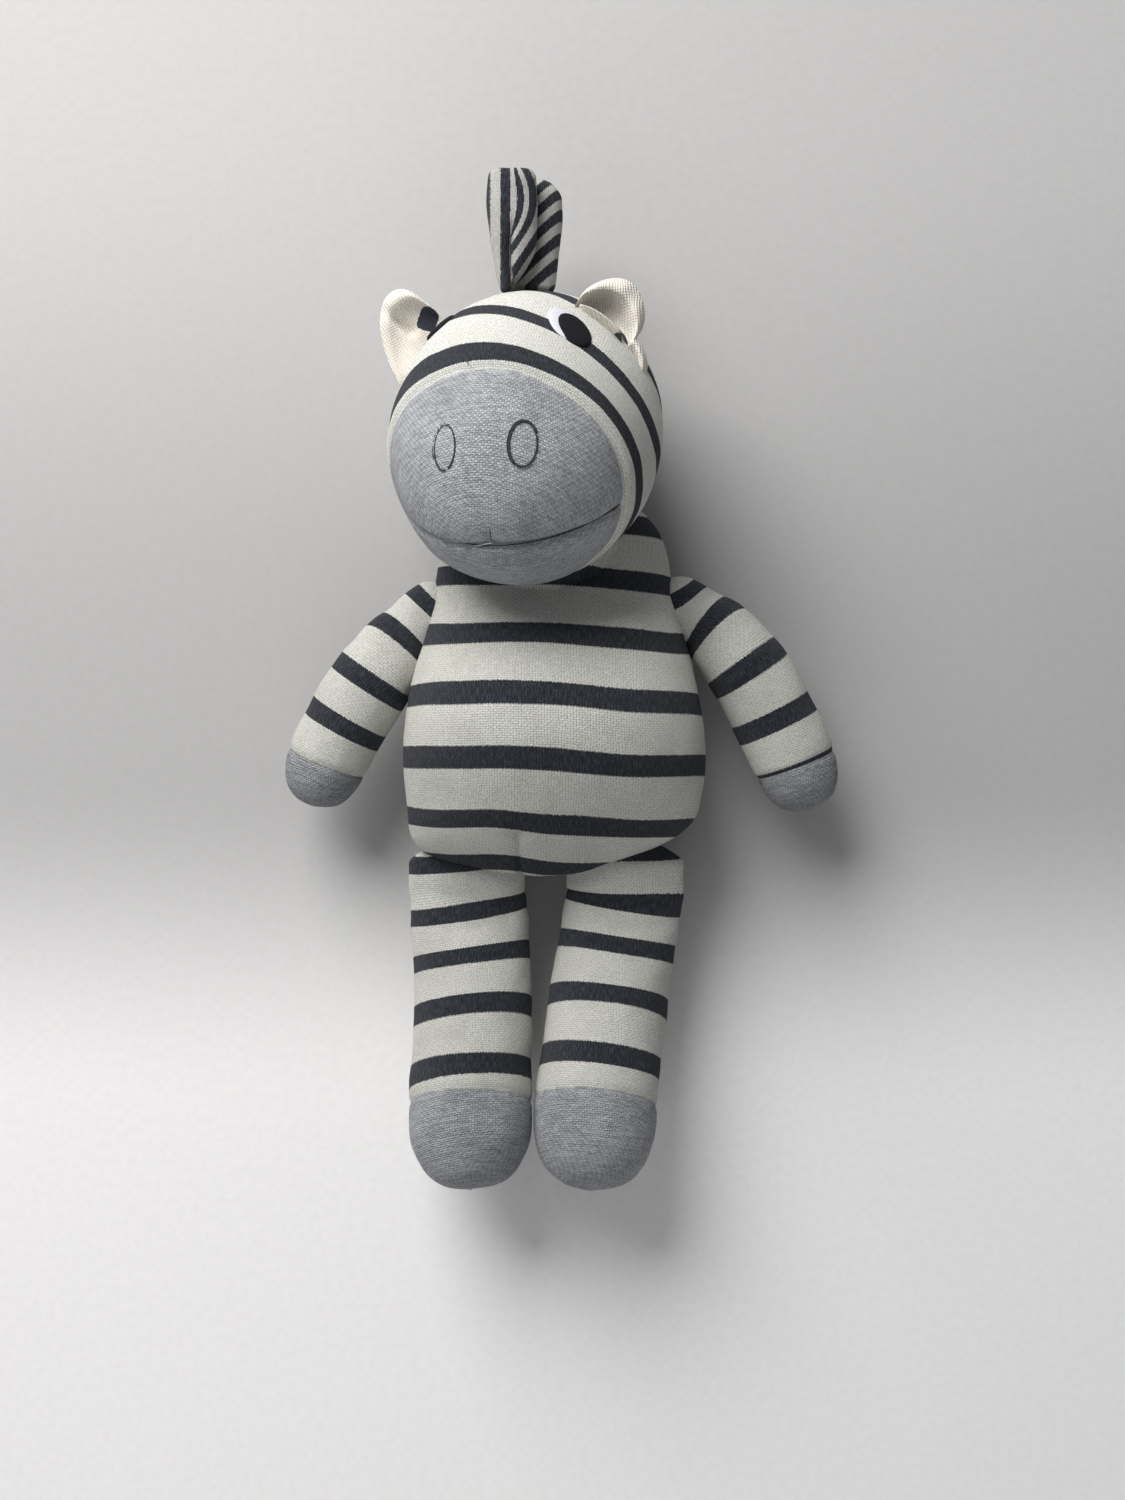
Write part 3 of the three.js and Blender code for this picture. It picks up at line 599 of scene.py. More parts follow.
# Planes of the head's stripe edges: way, offset from the head's centre, and stripe count there
HEAD_RINGS = [
    ((-0.265, -0.609, 0.748), 34.0, -0.5),
    ((-0.257, -0.676, 0.690), 24.14, -0.18),
    ((-0.339, -0.685, 0.645), 13.56, 0.18),
    ((-0.490, -0.720, 0.491), -9.14, 0.82),
    ((-0.517, -0.731, 0.446), -17.67, 1.18),
    ((-0.570, -0.740, 0.360), -39.0, 1.82),
    ((-0.600, -0.750, 0.280), -46.5, 2.18),
    ((-0.620, -0.760, 0.200), -60.0, 2.6),
]
# Width and depth of the valleys at the grey edge and at the mouth, and of the swelling behind the edge
EDGE_VALLEY = (1.5, 1.3)
LIPS_VALLEY = (1.8, 1.9)
WELT = (2.6, 0.5)
WELT_PLACE = -3.6
# The crease above the mouth: its two ends in the picture, and its valleys
CREASE_ENDS = [(482, 468), (490.5, 546)]
CREASE_VALLEYS = ((2.2, 1.25), (9.0, 1.1))
# Unevenness: size, amount and seed
HEAD_LUMPS = ((22.0, 0.7, 3), (8.0, 0.18, 4))
# Columns of stitches round the head
HEAD_COLUMNS = 305
# The grey knit's rows lie round these places of the picture, on a ball of this radius
MUZZLE_HUB = (489.4, 557.6)
CHIN_HUB = (489.4, 470.0)
HUB_RADIUS = 104.0

# Eyes: colour of each pad, its fabric and the end of its node's name
EYE_PADS = (("white", EYE_WHITE, "white"), ("black", EYE_BLACK, "dark"))
# Right eye in the picture: middle, half sizes and turn of each pad, then its height and thickness
RIGHT_EYE = {"white": ((567.0, 324.5), 21.8, 12.0, 40, 0.1, 0.5),
             "black": ((574.0, 330.2), 21.4, 11.2, 43, 0.25, 0.75)}
# Left eye at the head's side: its place and its long way, then shift and half sizes, height and thickness
LEFT_EYE_PLACE = (-44.0, 149.0, 69.4)
LEFT_EYE_WAY = (0.75, 0.66)
LEFT_EYE = {"white": ((-1.7, 1.2), 7.2, 5.4, 0.1, 0.6),
            "black": ((0.0, 0.0), 7.4, 5.8, 0.3, 1.0)}
PAD_RINGS = 12
PAD_UNDER = -1.0

# Nostrils in the picture: middle, half sizes and turn, then the arcs of the line and of its second pass
NOSTRILS = {"left": ((445, 448), 10, 22.5, 4, (78, 424), (150, 290)),
            "right": ((523, 444), 14, 22.5, 3, (0, 360), (120, 330))}
# Each line's thread and height, points to a stitch and their lift, and how much larger the second pass is
NOSTRIL_THREAD, NOSTRIL_HEIGHT, NOSTRIL_STITCH = 0.35, 0.02, 13
SECOND_THREAD, SECOND_HEIGHT, SECOND_STITCH = 0.27, -0.06, 11
STITCH_LIFT = 0.22
SECOND_WIDER, SECOND_HIGHER = 1.9, 1.6

# Mouth: the arc of its line, its thread, height in the seam and stitches, how far it stays from the grey
# edge, and how much deeper it lies at its left end, between these places along X
MOUTH_ARC = (12, 172)
MOUTH_THREAD, MOUTH_HEIGHT, MOUTH_LIFT, MOUTH_STITCH = 0.24, -1.7, 0.12, 9
MOUTH_CLEAR = 1.0
MOUTH_END_DROP = 0.3
MOUTH_END = (-26, -34)
# Short threads in the picture: name, fabric, radius, points, heights at both ends, places and node
SHORT_THREADS = (
    ("mouth_crease_stitching", THREAD, 0.15, 40, (-1.5, -1.5),
     [(487.5, 519), (488.5, 527), (489.5, 536), (490.5, 544)], ("mouth_crease_thread",)),
    ("mouth_white_thread_end", EYE_WHITE, 0.15, 24, (-1.45, -1.45),
     [(472, 548.6), (478, 548.2), (485, 546.8), (491, 545.6)], ()),
    ("loose_thread_end", THREAD, 0.16, 24, (0.0, 1.4),
     [(465, 355), (466.5, 359), (468, 363), (470, 367)], ()),
)


def head_radius(points):
    """1 on the head's surface, less inside it."""
    return np.linalg.norm((points - HEAD_CENTRE) @ HEAD_SHAPE.T, axis=-1)


def on_head(points, height=0.0):
    """Points of the head's surface on the lines from its centre through these, raised by a height, and the
    way out at each."""
    points = np.atleast_2d(points)
    from_centre = (points - HEAD_CENTRE) / head_radius(points)[:, None]
    out = from_centre @ HEAD_SHAPE.T @ HEAD_SHAPE
    out /= np.linalg.norm(out, axis=1)[:, None]
    return HEAD_CENTRE + from_centre + out * np.reshape(height, (-1, 1)), out


def meet_head(start, ways, side):
    """Where lines from a start meet the head's surface: at the near side (-1) or at the far one (1)."""
    a, b = ways @ HEAD_SHAPE.T, (start - HEAD_CENTRE) @ HEAD_SHAPE.T
    square, half = (a * a).sum(1), a @ b
    root = np.sqrt(np.maximum(half * half - square * (b @ b - 1), 0))
    return start + ways * ((side * root - half) / square)[:, None]


def seen_on_head(pixels, height=0.0):
    """Where the lines of sight through places of the picture meet the head's surface, raised by a height."""
    ways = at_pixels(pixels, EYE[2] - 1.0) - EYE
    return on_head(meet_head(EYE, ways, -1), height)[0]


def head_phase(points):
    """The head's place in the count of stripes: between two rings it goes from one's count to the other's."""
    d = points.reshape(-1, 3) - HEAD_CENTRE
    sides = [d @ unit(way) - offset for way, offset, count in HEAD_RINGS]
    counts = [count for way, offset, count in HEAD_RINGS]
    phase = np.full(len(d), counts[-1], float)
    for k in range(len(counts) - 1):
        share = np.clip(sides[k] / np.minimum(sides[k] - sides[k + 1], -1e-6), 0, 1)
        between = (sides[k] < 0) & (sides[k + 1] >= 0)
        phase[between] = (counts[k] + share * (counts[k + 1] - counts[k]))[between]
    phase[sides[0] >= 0] = counts[0]
    return phase.reshape(points.shape[:-1])


def head_form():
    """The head's whole form, with the valleys of its seams and the crease above the mouth."""
    rows, around = 250, 300
    angle = np.linspace(0, math.pi, rows)[:, None, None]
    turn = turns(around)[:, None]
    ring = HEAD_HALF_WIDTH * (np.cos(turn) * HEAD_ACROSS + np.sin(turn) * CHIN_WAY)
    grid = HEAD_CENTRE - HEAD_HALF_LENGTH * np.cos(angle) * MUZZLE_WAY + np.sin(angle) * ring
    phase = head_phase(grid)
    normal = surface_normals(grid)
    edge, lips = ((grid - HEAD_CENTRE) @ way - offset for way, offset in (GREY_EDGE, MOUTH))
    drop = valley(edge, EDGE_VALLEY) + np.where(edge > 0, valley(lips, LIPS_VALLEY), 0)
    drop -= np.where(edge < 0, valley(edge - WELT_PLACE, WELT), 0)
    along, away = beside(grid, *seen_on_head(CREASE_ENDS))
    drop += valley(away, *CREASE_VALLEYS) * along
    drop -= sum(lumps(grid, *wave) for wave in HEAD_LUMPS)
    grid = grid - normal * drop[..., None]
    across = np.tile(np.linspace(0, HEAD_COLUMNS * WALE, around + 1), (rows, 1))
    return tube_mesh("head_form", grid, (across[:, :-1], across[:, 1:]), phase * STRIPE_PERIOD, phase)


def knit_round(obj, hub, side):
    """Lays the knit's rows on a part of the head as arcs round a hub, a place of the picture."""
    points = np.empty(len(obj.data.vertices) * 3)
    obj.data.vertices.foreach_get("co", points)
    d = points.reshape(-1, 3) / MM - seen_on_head(hub)[0]
    v = HUB_RADIUS * np.arcsin(np.minimum(np.linalg.norm(d, axis=1) / HUB_RADIUS, 1))
    set_knit(obj.data, np.arctan2(d @ HEAD_ACROSS, -side * (d @ CHIN_WAY)) * v, v)


def build_head():
    whole = head_form()
    edge, lips = ((way, offset + HEAD_CENTRE @ way) for way, offset in (GREY_EDGE, MOUTH))
    in_front, above = ((-way, -offset) for way, offset in (edge, lips))
    back = cut_part(whole, "head_striped_knit", [edge])
    muzzle = cut_part(whole, "muzzle_heather_knit", [in_front, above])
    chin = cut_part(whole, "chin_heather_knit", [in_front, lips])
    bpy.data.objects.remove(whole)
    knit_round(muzzle, MUZZLE_HUB, 1)
    knit_round(chin, CHIN_HUB, -1)
    dress(back, HEAD_STRIPED_PAINTED_LIGHT, "head", ("head_cover", "head_filling"))
    dress(muzzle, HEATHER, "head", ("muzzle_cover",))
    dress(chin, HEATHER, "head", ("chin_cover",))


def pad(name, rim, height, thickness, fabric, node):
    """A stitched pad on the head: it rises from its rim to its thickness, and closes under the knit."""
    middle = rim.mean(axis=0)
    count = len(rim)
    right = unit(rim[0] - middle)
    up = unit(np.cross(on_head(middle)[1][0], right))
    shares = [*np.linspace(0, 1, PAD_RINGS)[1:], 1.0]
    rises = [height + thickness * math.sqrt(max(0.0, 1 - share**4)) for share in shares[:-1]] + [PAD_UNDER]
    flat = np.vstack([middle, *(middle + (rim - middle) * share for share in shares), middle])
    rises = [height + thickness, *np.repeat(rises, count), PAD_UNDER]
    last = len(flat) - 1
    ring = [(a, (a + 1) % count) for a in range(count)]
    faces = [(0, 1 + a, 1 + b) for a, b in ring]
    for low in range(1, last - count, count):
        faces += [(low + a, low + count + a, low + count + b, low + b) for a, b in ring]
    faces += [(last - count + a, last, last - count + b) for a, b in ring]
    mesh = bpy.data.meshes.new(name)
    mesh.from_pydata((on_head(flat, rises)[0] * MM).tolist(), [], faces)
    set_knit(mesh, (flat - middle) @ right, (flat - middle) @ up)
    dress(finished(name, mesh), fabric, "head", (node,))


def build_eyes():
    for colour, fabric, node in EYE_PADS:
        *shape, height, thickness = RIGHT_EYE[colour]
        rim = seen_on_head(oval(*shape))
        pad(f"right_eye_{colour}_stitching", rim, height, thickness, fabric, f"right_eye_{node}")
    (place,), (out,) = on_head(LEFT_EYE_PLACE)
    up = unit(np.array([0, 1.0, 0]) - out[1] * out)
    right = np.cross(up, out)
    turn = turns(48)
    for colour, fabric, node in EYE_PADS:
        shift, half_long, half_short, height, thickness = LEFT_EYE[colour]
        x, y = half_long * np.cos(turn), half_short * np.sin(turn)
        rim = (place + np.outer(shift[0] + x * LEFT_EYE_WAY[0] - y * LEFT_EYE_WAY[1], right)
               + np.outer(shift[1] + x * LEFT_EYE_WAY[1] + y * LEFT_EYE_WAY[0], up))
        pad(f"left_eye_{colour}_stitching", on_head(rim)[0], height, thickness, fabric, f"left_eye_{node}")


def sew(name, line, radius, nodes=(), closed=False, fabric=THREAD):
    """A thread on the head."""
    dress(strand(name, line, radius, closed), fabric, "head", nodes)


def dips(count, lift, stitch):
    """How far each point of a thread rises, with stitches this many points long."""
    return lift * np.abs(np.sin(np.arange(count) * math.pi / stitch))


def build_nostrils():
    """Ovals in backstitch: each stitch dips into the knit at its ends, and a second pass doubles part."""
    for side, (centre, wide, high, tilt, arc, second) in NOSTRILS.items():
        rim = oval(centre, wide, high, tilt, *arc, 200)
        line = seen_on_head(rim, NOSTRIL_HEIGHT + dips(len(rim), STITCH_LIFT, NOSTRIL_STITCH))
        sew(f"{side}_nostril_stitching", line, NOSTRIL_THREAD, (f"{side}_nostril_thread",), arc == (0, 360))
        rim = oval(centre, wide + SECOND_WIDER, high + SECOND_HIGHER, tilt, *second, 90)
        line = seen_on_head(rim, SECOND_HEIGHT + dips(len(rim), STITCH_LIFT, SECOND_STITCH))
        sew(f"{side}_nostril_second_stitching", line, SECOND_THREAD)


def build_mouth():
    way, offset = MOUTH
    across = unit(np.cross([0, 1.0, 0], way))
    up = np.cross(across, way)
    turn = np.radians(np.linspace(*MOUTH_ARC, 260))
    ways = np.outer(np.cos(turn), across) + np.outer(np.sin(turn), up)
    line = meet_head(HEAD_CENTRE + way * offset, ways, 1)
    line = line[(line - HEAD_CENTRE) @ GREY_EDGE[0] > GREY_EDGE[1] + MOUTH_CLEAR]
    height = MOUTH_HEIGHT + dips(len(line), MOUTH_LIFT, MOUTH_STITCH)
    height -= MOUTH_END_DROP * eased(line[:, 0], *MOUTH_END)
    sew("mouth_seam_thread", on_head(line, height)[0], MOUTH_THREAD, ("mouth_thread",))
    for name, fabric, radius, count, heights, places, nodes in SHORT_THREADS:
        line = seen_on_head(curve_through(places, count), np.linspace(*heights, count))
        sew(name, line, radius, nodes, fabric=fabric)


# Body

BODY_X = -0.8
# Rows of the body from the legs to the neck: place along Y, half width, and the heights of back and front
BODY_STATIONS = [
    (-61.8, 0, 32, 32), (-60.6, 17, 24, 40), (-57.4, 31, 14, 47.5), (-51.5, 46, 7, 56), (-43.5, 55.3, 2, 65),
    (-32, 57.6, -0.5, 75), (-16, 59, -0.5, 84), (2, 57.8, -0.5, 86.5), (19, 55, -0.5, 80),
    (34, 51.3, -0.5, 68.5), (47, 48.8, -0.5, 57), (58, 46.6, -0.2, 52), (69, 44.6, 1, 50),
    (79, 39.8, 3.6, 47), (87, 29, 8, 42), (91, 0, 25, 25),
]
# The power that squares off its cross-section
BODY_ROUNDNESS = 2 / 2.25
BODY_LUMPS = ((30.0, 0.9, 1), (10.0, 0.25, 2))
# How much further up the right side lies at the legs, as a slope, and between which places along Y it starts
HIP_SLOPE = 0.075
HIP_REACH = (-18, -48)
# The dart in the belly: its middle, half its length, the height it lies above, and its valleys
DART_X = -14.5
DART_Y = -53
DART_HALF = 9
DART_ABOVE = 30
DART_VALLEYS = ((1.1, 1.5), (5.0, 0.9))
NECK_CENTRE = np.array([-5.0, 76.0, 34.0])
NECK_RADIUS = 33.0
# The body stays outside this share of the head, and its knit is plain inside the second one
HEAD_SEAT = 0.985
PLAIN_SEAT = (0.955, 0.925)
# Middle of each dark stripe: place along Y on the front, and its count
BODY_STRIPES = [(-62, -0.4), (-55, 0), (-38, 1), (-14.3, 2), (10, 3), (33.5, 4), (57, 5), (80, 6), (104, 7)]
# How far the stripes sag to the right, and once more below the belly, with the reach of each
SAG = 3.4
SAG_REACH = (-30, 50)
LOW_SAG = 1.8
LOW_SAG_REACH = (-27, -1)
LOW_SAG_HEIGHT = (-22, -42)
SAG_LUMPS = (30.0, 1.2, 5)


def pushed_out(points, centre, size, least):
    """Moves the points that are smaller than the least size, seen from a centre, out to that size."""
    size = size[..., None]
    return np.where(size < least, centre + (points - centre) / np.maximum(size, 1e-6) * least, points)


def build_body():
    rows, around = 230, 280
    y, wide, back, front = curve_through(BODY_STATIONS, rows).T[..., None]
    turn = turns(around)
    x = BODY_X + np.maximum(wide, 0) * filled_out(np.cos(turn), BODY_ROUNDNESS)
    z = (back + front) / 2 + np.maximum((front - back) / 2, 0) * filled_out(np.sin(turn), BODY_ROUNDNESS)
    grid = np.stack(np.broadcast_arrays(x, y, z), axis=-1)
    grid[..., 1] += HIP_SLOPE * (x - BODY_X) * eased(y, *HIP_REACH)
    normal = surface_normals(grid)
    from_dart = np.hypot(np.maximum(0, np.abs(grid[..., 1] - DART_Y) - DART_HALF), grid[..., 0] - DART_X)
    dart = np.where(grid[..., 2] > DART_ABOVE, valley(from_dart, *DART_VALLEYS), 0)
    pull = dart - sum(lumps(grid, *wave) for wave in BODY_LUMPS)
    grid = grid - normal * pull[..., None]
    grid = pushed_out(grid, NECK_CENTRE, np.linalg.norm(grid - NECK_CENTRE, axis=-1), NECK_RADIUS)
    in_head = head_radius(grid)
    grid = pushed_out(grid, HEAD_CENTRE, in_head, HEAD_SEAT)
    grid[..., 2] = np.maximum(grid[..., 2], 0.0)
    x, y = grid[..., 0], grid[..., 1]
    low_sag = LOW_SAG * eased(x, *LOW_SAG_REACH) * eased(y, *LOW_SAG_HEIGHT)
    level = y + SAG * eased(x, *SAG_REACH) + low_sag + lumps(grid, *SAG_LUMPS)
    phase = np.interp(level, *np.transpose(BODY_STRIPES))
    phase += eased(in_head, *PLAIN_SEAT) * (np.where(phase < 6, 5.5, 6.5) - phase)
    body = tube_mesh("body_striped_knit", grid, panels(grid, (0, around // 2)), phase * STRIPE_PERIOD, phase)
    dress(body, STRIPED_PAINTED_SHADE, "torso", ("body_cover", "body_filling"))


# Limbs

# How far behind the joint a limb's line starts, and how far beyond it the line rises
LIMB_LEAD = 16.0
SUNK_REACH = 34.0
# The seam to the end piece and the one along the inner side, and the limbs' lowest height
CAP_VALLEY = (1.6, 0.75)
INNER_VALLEY = (1.1, 0.7)
FLOOR_GAP = 0.3
# Unevenness: size, amount and what is added to the limb's seed
LIMB_LUMPS = ((16.0, 0.8, 0), (6.0, 0.2, 9))
# The root's stripes are turned over this distance, and its rows shift inwards between these
ROOT_FADE = 9.0
ROOT_SHIFT = (-4, -14)


class Limb:
    """A limb's middle line and its frame at distances from the joint. Each kind names these:
    lines, its middle line from the joint, and stripes, the middles of its dark stripes along it;
    swell, its rows as share of its length, half width and half depth, and seam, where its end is sewn on;
    root, the rows hidden in the body: distance from the joint, half width and half depth;
    sunk, how much lower the line lies at the root, and inward, how far those rows shift to the body's middle;
    tilt, lean and root_lean, how its stripes lie: further along at the sides, at the outer side, and turned
    at the root; folds, its wrinkles as place, width and depth."""

    def __init__(self, side, seed):
        self.side, self.seed = side, seed
        p = np.array(self.lines[side], float)
        start = p[0] - unit(p[1] - p[0]) * LIMB_LEAD
        early = p[0] + (p[1] - p[0]) * 0.35
        spots = np.vstack([start, p[0], early, p[1:]])
        gaps = np.sqrt(np.linalg.norm(np.diff(spots, axis=0), axis=1))
        knots = np.concatenate([[0], np.cumsum(gaps)])
        tangent = np.gradient(spots, knots, axis=0)
        t = np.linspace(0, 1, 60, endpoint=False)[:, None]
        fine = []
        for k, span in enumerate(gaps):
            h = (2 * t**3 - 3 * t**2 + 1) * spots[k] + (t**3 - 2 * t**2 + t) * span * tangent[k]
            fine.append(h + (3 * t**2 - 2 * t**3) * spots[k + 1] + (t**3 - t**2) * span * tangent[k + 1])
        self.line = np.vstack([*fine, spots[-1:]])
        along = lengths(self.line) - LIMB_LEAD
        self.length = along[-1]
        self.stations = np.array(self.root + [(share * self.length, w, d) for share, w, d in self.swell])
        self.line[:, 2] -= self.sunk * (1 - eased(along, 0, SUNK_REACH))

    def frame(self, distance):
        """The line's points at these distances, and its ways along, across and up."""
        distance = np.atleast_1d(distance) + LIMB_LEAD
        spot = resampled(self.line, distance)
        way = resampled(self.line, distance + 0.5) - resampled(self.line, distance - 0.5)
        way = way / np.linalg.norm(way, axis=1)[:, None]
        side = np.cross(way, [0, 0, 1.0])
        side /= np.linalg.norm(side, axis=1)[:, None]
        return spot, way, side, np.cross(side, way)

    def seam_plane(self):
        """The plane of the seam round the limb: a point and its way towards the limb's end."""
        spot, way, across, up = self.frame(self.seam * self.length)
        return spot[0], unit(way[0] + self.tilt * up[0])


class Arm(Limb):
    kind, end, hub, cap = "arm", "hand", "shoulder", HAND_HEATHER_PAINTED_SHADE
    lines = {
        "left": [(-50, 43, 33), (-63.5, 29, 32.5), (-76.8, 10, 31.5), (-86.2, -6, 30.5), (-92, -18.5, 29.5),
                 (-96.2, -34.8, 28)],
        "right": [(50, 44.5, 33), (64, 35, 32.5), (77.4, 18, 31.5), (86.8, 1, 30.5), (94.8, -17, 29.5),
                  (101.4, -36.4, 28)],
    }
    swell = [(0.09, 13.4, 13.4), (0.18, 14.6, 14.4), (0.3, 15.9, 15.6), (0.46, 16.6, 16.4),
             (0.64, 16.6, 16.4), (0.8, 16.2, 16), (0.9, 14.4, 14.2), (0.97, 9.2, 9), (1, 0, 0)]
    root = [(-13.0, 0, 0), (-11.5, 6.5, 6.5), (-7.0, 11, 11), (0, 12.8, 12.8)]
    sunk, inward, seam, tilt = 6.5, 0.0, 0.8, 0.0
    lean = {"left": 0.0, "right": 0.0}
    root_lean = {"left": 0.0, "right": 0.45}
    stripes = {"left": (-1.5, 18.0, 36.8, 56.6), "right": (-4.5, 15.1, 35.8, 58.8, 81.5)}
    folds = ((12.0, 3.0, 0.7), (26.0, 4.0, 0.4))
    rows, around = 190, 130


class Leg(Limb):
    kind, end, hub, cap = "leg", "foot", "hip", LIMB_HEATHER_PAINTED_SHADE
    lines = {
        "left": [(-35.2, -60.5, 32), (-35.2, -68, 30), (-34.4, -80, 27.4), (-33.4, -100, 27),
                 (-33.2, -122, 30), (-34, -145, 34), (-33.4, -184.5, 43)],
        "right": [(27.4, -60.5, 32), (27.4, -68, 30), (25.6, -80, 27.4), (22.2, -102, 27), (19.6, -122, 30),
                  (16.6, -145, 34), (13, -184.5, 43)],
    }
    swell = [(0.08, 23.3, 10), (0.15, 23.5, 14), (0.26, 23.7, 18.8), (0.42, 23.7, 22), (0.58, 23.9, 23),
             (0.72, 24.4, 23.6), (0.85, 23.4, 22.8), (0.94, 17.8, 17.4), (0.985, 9.8, 9.6), (1, 0, 0)]
    root = [(-16.0, 0, 0), (-15.2, 15, 4.5), (-13.0, 20.5, 7.0), (-6.0, 23, 8.8), (0, 23.2, 9.4)]
    sunk, inward, seam, tilt = 0.0, 9.0, 0.728, 0.17
    lean = {"left": 0.10, "right": 0.0}
    root_lean = {"left": 0.0, "right": 0.0}
    stripes = {"left": (-7.0, 13.2, 31.8, 53.7, 77.5), "right": (-11.0, 9.6, 27.2, 50.2, 74.0)}
    folds = ((9.0, 2.6, 0.8), (18.0, 3.2, 0.7), (29.0, 4.0, 0.4))
    rows, around = 230, 150


def limb_form(limb):
    """The limb's whole form, with the valleys where its end piece is sewn on and along its inner side."""
    s = curve_through(limb.stations, limb.rows)
    s[:, 0] = np.maximum.accumulate(s[:, 0])
    distance, wide, deep = s[:, 0:1], np.maximum(s[:, 1:2], 0), np.maximum(s[:, 2:3], 0)
    wide[[0, -1]] = 0
    deep[[0, -1]] = 0
    spot, way, side, up = (row[:, None, :] for row in limb.frame(s[:, 0]))
    turn = turns(limb.around)
    cos, sin = np.cos(turn), np.sin(turn)
    grid = spot + (wide * cos)[..., None] * side + (deep * sin)[..., None] * up
    grid[..., 0] -= np.sign(spot[0, 0, 0]) * limb.inward * eased(distance, *ROOT_SHIFT)
    normal = surface_normals(grid)
    centre, seam_way = limb.seam_plane()
    pull = valley((grid - centre) @ seam_way, CAP_VALLEY)
    pull -= sum(lumps(grid, size, amount, limb.seed + shift) for size, amount, shift in LIMB_LUMPS)
    for at, width, depth in limb.folds:
        wave = at + 2.5 * np.sin(turn * 2 + at)
        pull += valley(distance - wave, (width, depth)) * (0.6 + 0.4 * np.sin(turn + at * 1.7))
    inner = limb.around // 2 if limb.side == "left" else 0
    from_inner = np.abs((turn - turn[inner] + math.pi) % (2 * math.pi) - math.pi)
    pull += valley(from_inner * np.maximum(wide, 1), INNER_VALLEY)
    pull[[0, -1]] = 0
    grid = grid - normal * pull[..., None]
    grid[..., 2] = np.maximum(grid[..., 2], FLOOR_GAP)
    turned = valley(np.maximum(distance, 0), (ROOT_FADE, limb.root_lean[limb.side])) - limb.lean[limb.side]
    arched = distance - limb.tilt * (1 - sin) * deep + turned * cos * wide
    marks = np.array(limb.stripes[limb.side])
    low = marks[0] - (marks[1] - marks[0])
    high = marks[-1] + 0.5 * (marks[-1] - marks[-2])
    phase = np.interp(arched, [low, *marks, high], [-1, *range(len(marks)), len(marks) - 0.5])
    rise = arched + lengths(s[:, ::2])[:, None] - distance
    return tube_mesh(f"{limb.side}_{limb.kind}_form", grid, panels(grid, (inner,)), rise, phase)


def build_limb(limb):
    whole = limb_form(limb)
    name, hub, end = (f"{limb.side}_{word}" for word in (limb.kind, limb.hub, limb.end))
    seam, seam_way = limb.seam_plane()
    sleeve = cut_part(whole, f"{name}_striped_knit", [(seam_way, seam @ seam_way)])
    cap = cut_part(whole, f"{end}_heather_knit", [(-seam_way, -(seam @ seam_way))])
    bpy.data.objects.remove(whole)
    dress(sleeve, STRIPED_PAINTED_SHADE, None, (f"{name}_sleeve", f"{name}_filling"))
    spot, way = (value[0] for value in limb.frame(0.0)[:2])
    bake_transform(sleeve)
    dress(cap, limb.cap, name, (f"{end}_cap",))


def build_limbs():
    for n, side in enumerate(("left", "right")):
        build_limb(Arm(side, 11 + n))
        build_limb(Leg(side, 21 + n))


# Ears

# Place of the roll between the ear's root and its outline, its width, and the hollow's end
ROLL_PLACE = 0.80
ROLL_WIDTH = 0.17
HOLLOW_END = 0.74
# The ear's thickness to the front and behind, how steeply it closes at its ends, and its wrinkles
EAR_FRONT = 1.0
EAR_BACK = 1.2
EAR_ENDS = 14
EAR_WRINKLES = (6.0, 0.45)
# Each ear has its outline in the picture and its heights. Along it, pocket is the hollow's depth, roll the
# roll's height and back how far it bulges behind. patch is the dark patch: place, half sizes and turn.
# crease is a fold between two places, with its width and depth
LEFT_EAR = {
    "name": "left_ear_ribbed_knit", "nodes": ("left_ear_front", "left_ear_back"),
    "body": "left_ear", "root": (-51.6, 144.3, 50.9), "way": (-0.8, 0.57, 0),
    "base": [(412, 378), (416, 366), (422, 352), (430, 340), (440, 330), (446, 326)],
    "base_heights": 50,
    "rim": [(399, 384), (391, 368), (384, 348), (380, 326), (382, 306), (389, 294), (400, 289), (412, 292),
            (424, 300.5), (436, 311)],
    "rim_heights": [51, 50, 49, 49, 50, 51, 52, 53, 53, 53],
    "pocket": (0.2, 0.3, 0.4, 0.6, 0.8, 1.0, 0.8, 0.3), "roll": (0.2, 0.3, 0.6, 1.4, 3.2, 3.8, 3.4, 2.0),
    "back": (1, 2, 3, 4, 4, 4, 3, 2), "rib_way": (-0.50, 0.86), "patch": ((428.0, 320.5), (4.2, 4.6), -20),
    "crease": ([(386, 311), (410, 329)], (2.3, 3.6)),
}
RIGHT_EAR = {
    "name": "right_ear_ribbed_knit", "nodes": ("right_ear_back",),
    "body": "right_ear", "root": (24.5, 143.4, 81.9), "way": (0.78, 0.62, 0),
    "base": [(570, 312), (580, 320), (592, 331), (604, 345), (614, 359), (625, 383)],
    "base_heights": [80, 80, 79, 78, 77, 76],
    "rim": [(577, 303), (582, 294), (590, 286.5), (602, 280.5), (616, 278), (629, 281), (638, 290),
            (643.5, 304), (645, 318), (642, 330), (637, 338), (642, 345), (647, 358), (647, 371), (641, 382)],
    "rim_heights": [82, 82, 81, 80, 79, 79, 78, 78, 77, 77, 79, 78, 77, 76, 76],
    "pocket": (0.5, 3, 6, 7.5, 8, 7.5, 6, 3, 1.0, 4.5, 4.5, 1.0),
    "roll": (0.6, 1.2, 1.8, 2.0, 2.0, 2.0, 2.4, 3.0, 2.5, 3.6, 3.6, 1.4),
    "back": (1, 2, 3, 4, 4, 4, 3, 2), "rib_way": (-0.05, 1.0), "patch": ((616.5, 340.0), (1.9, 1.9), 0),
}
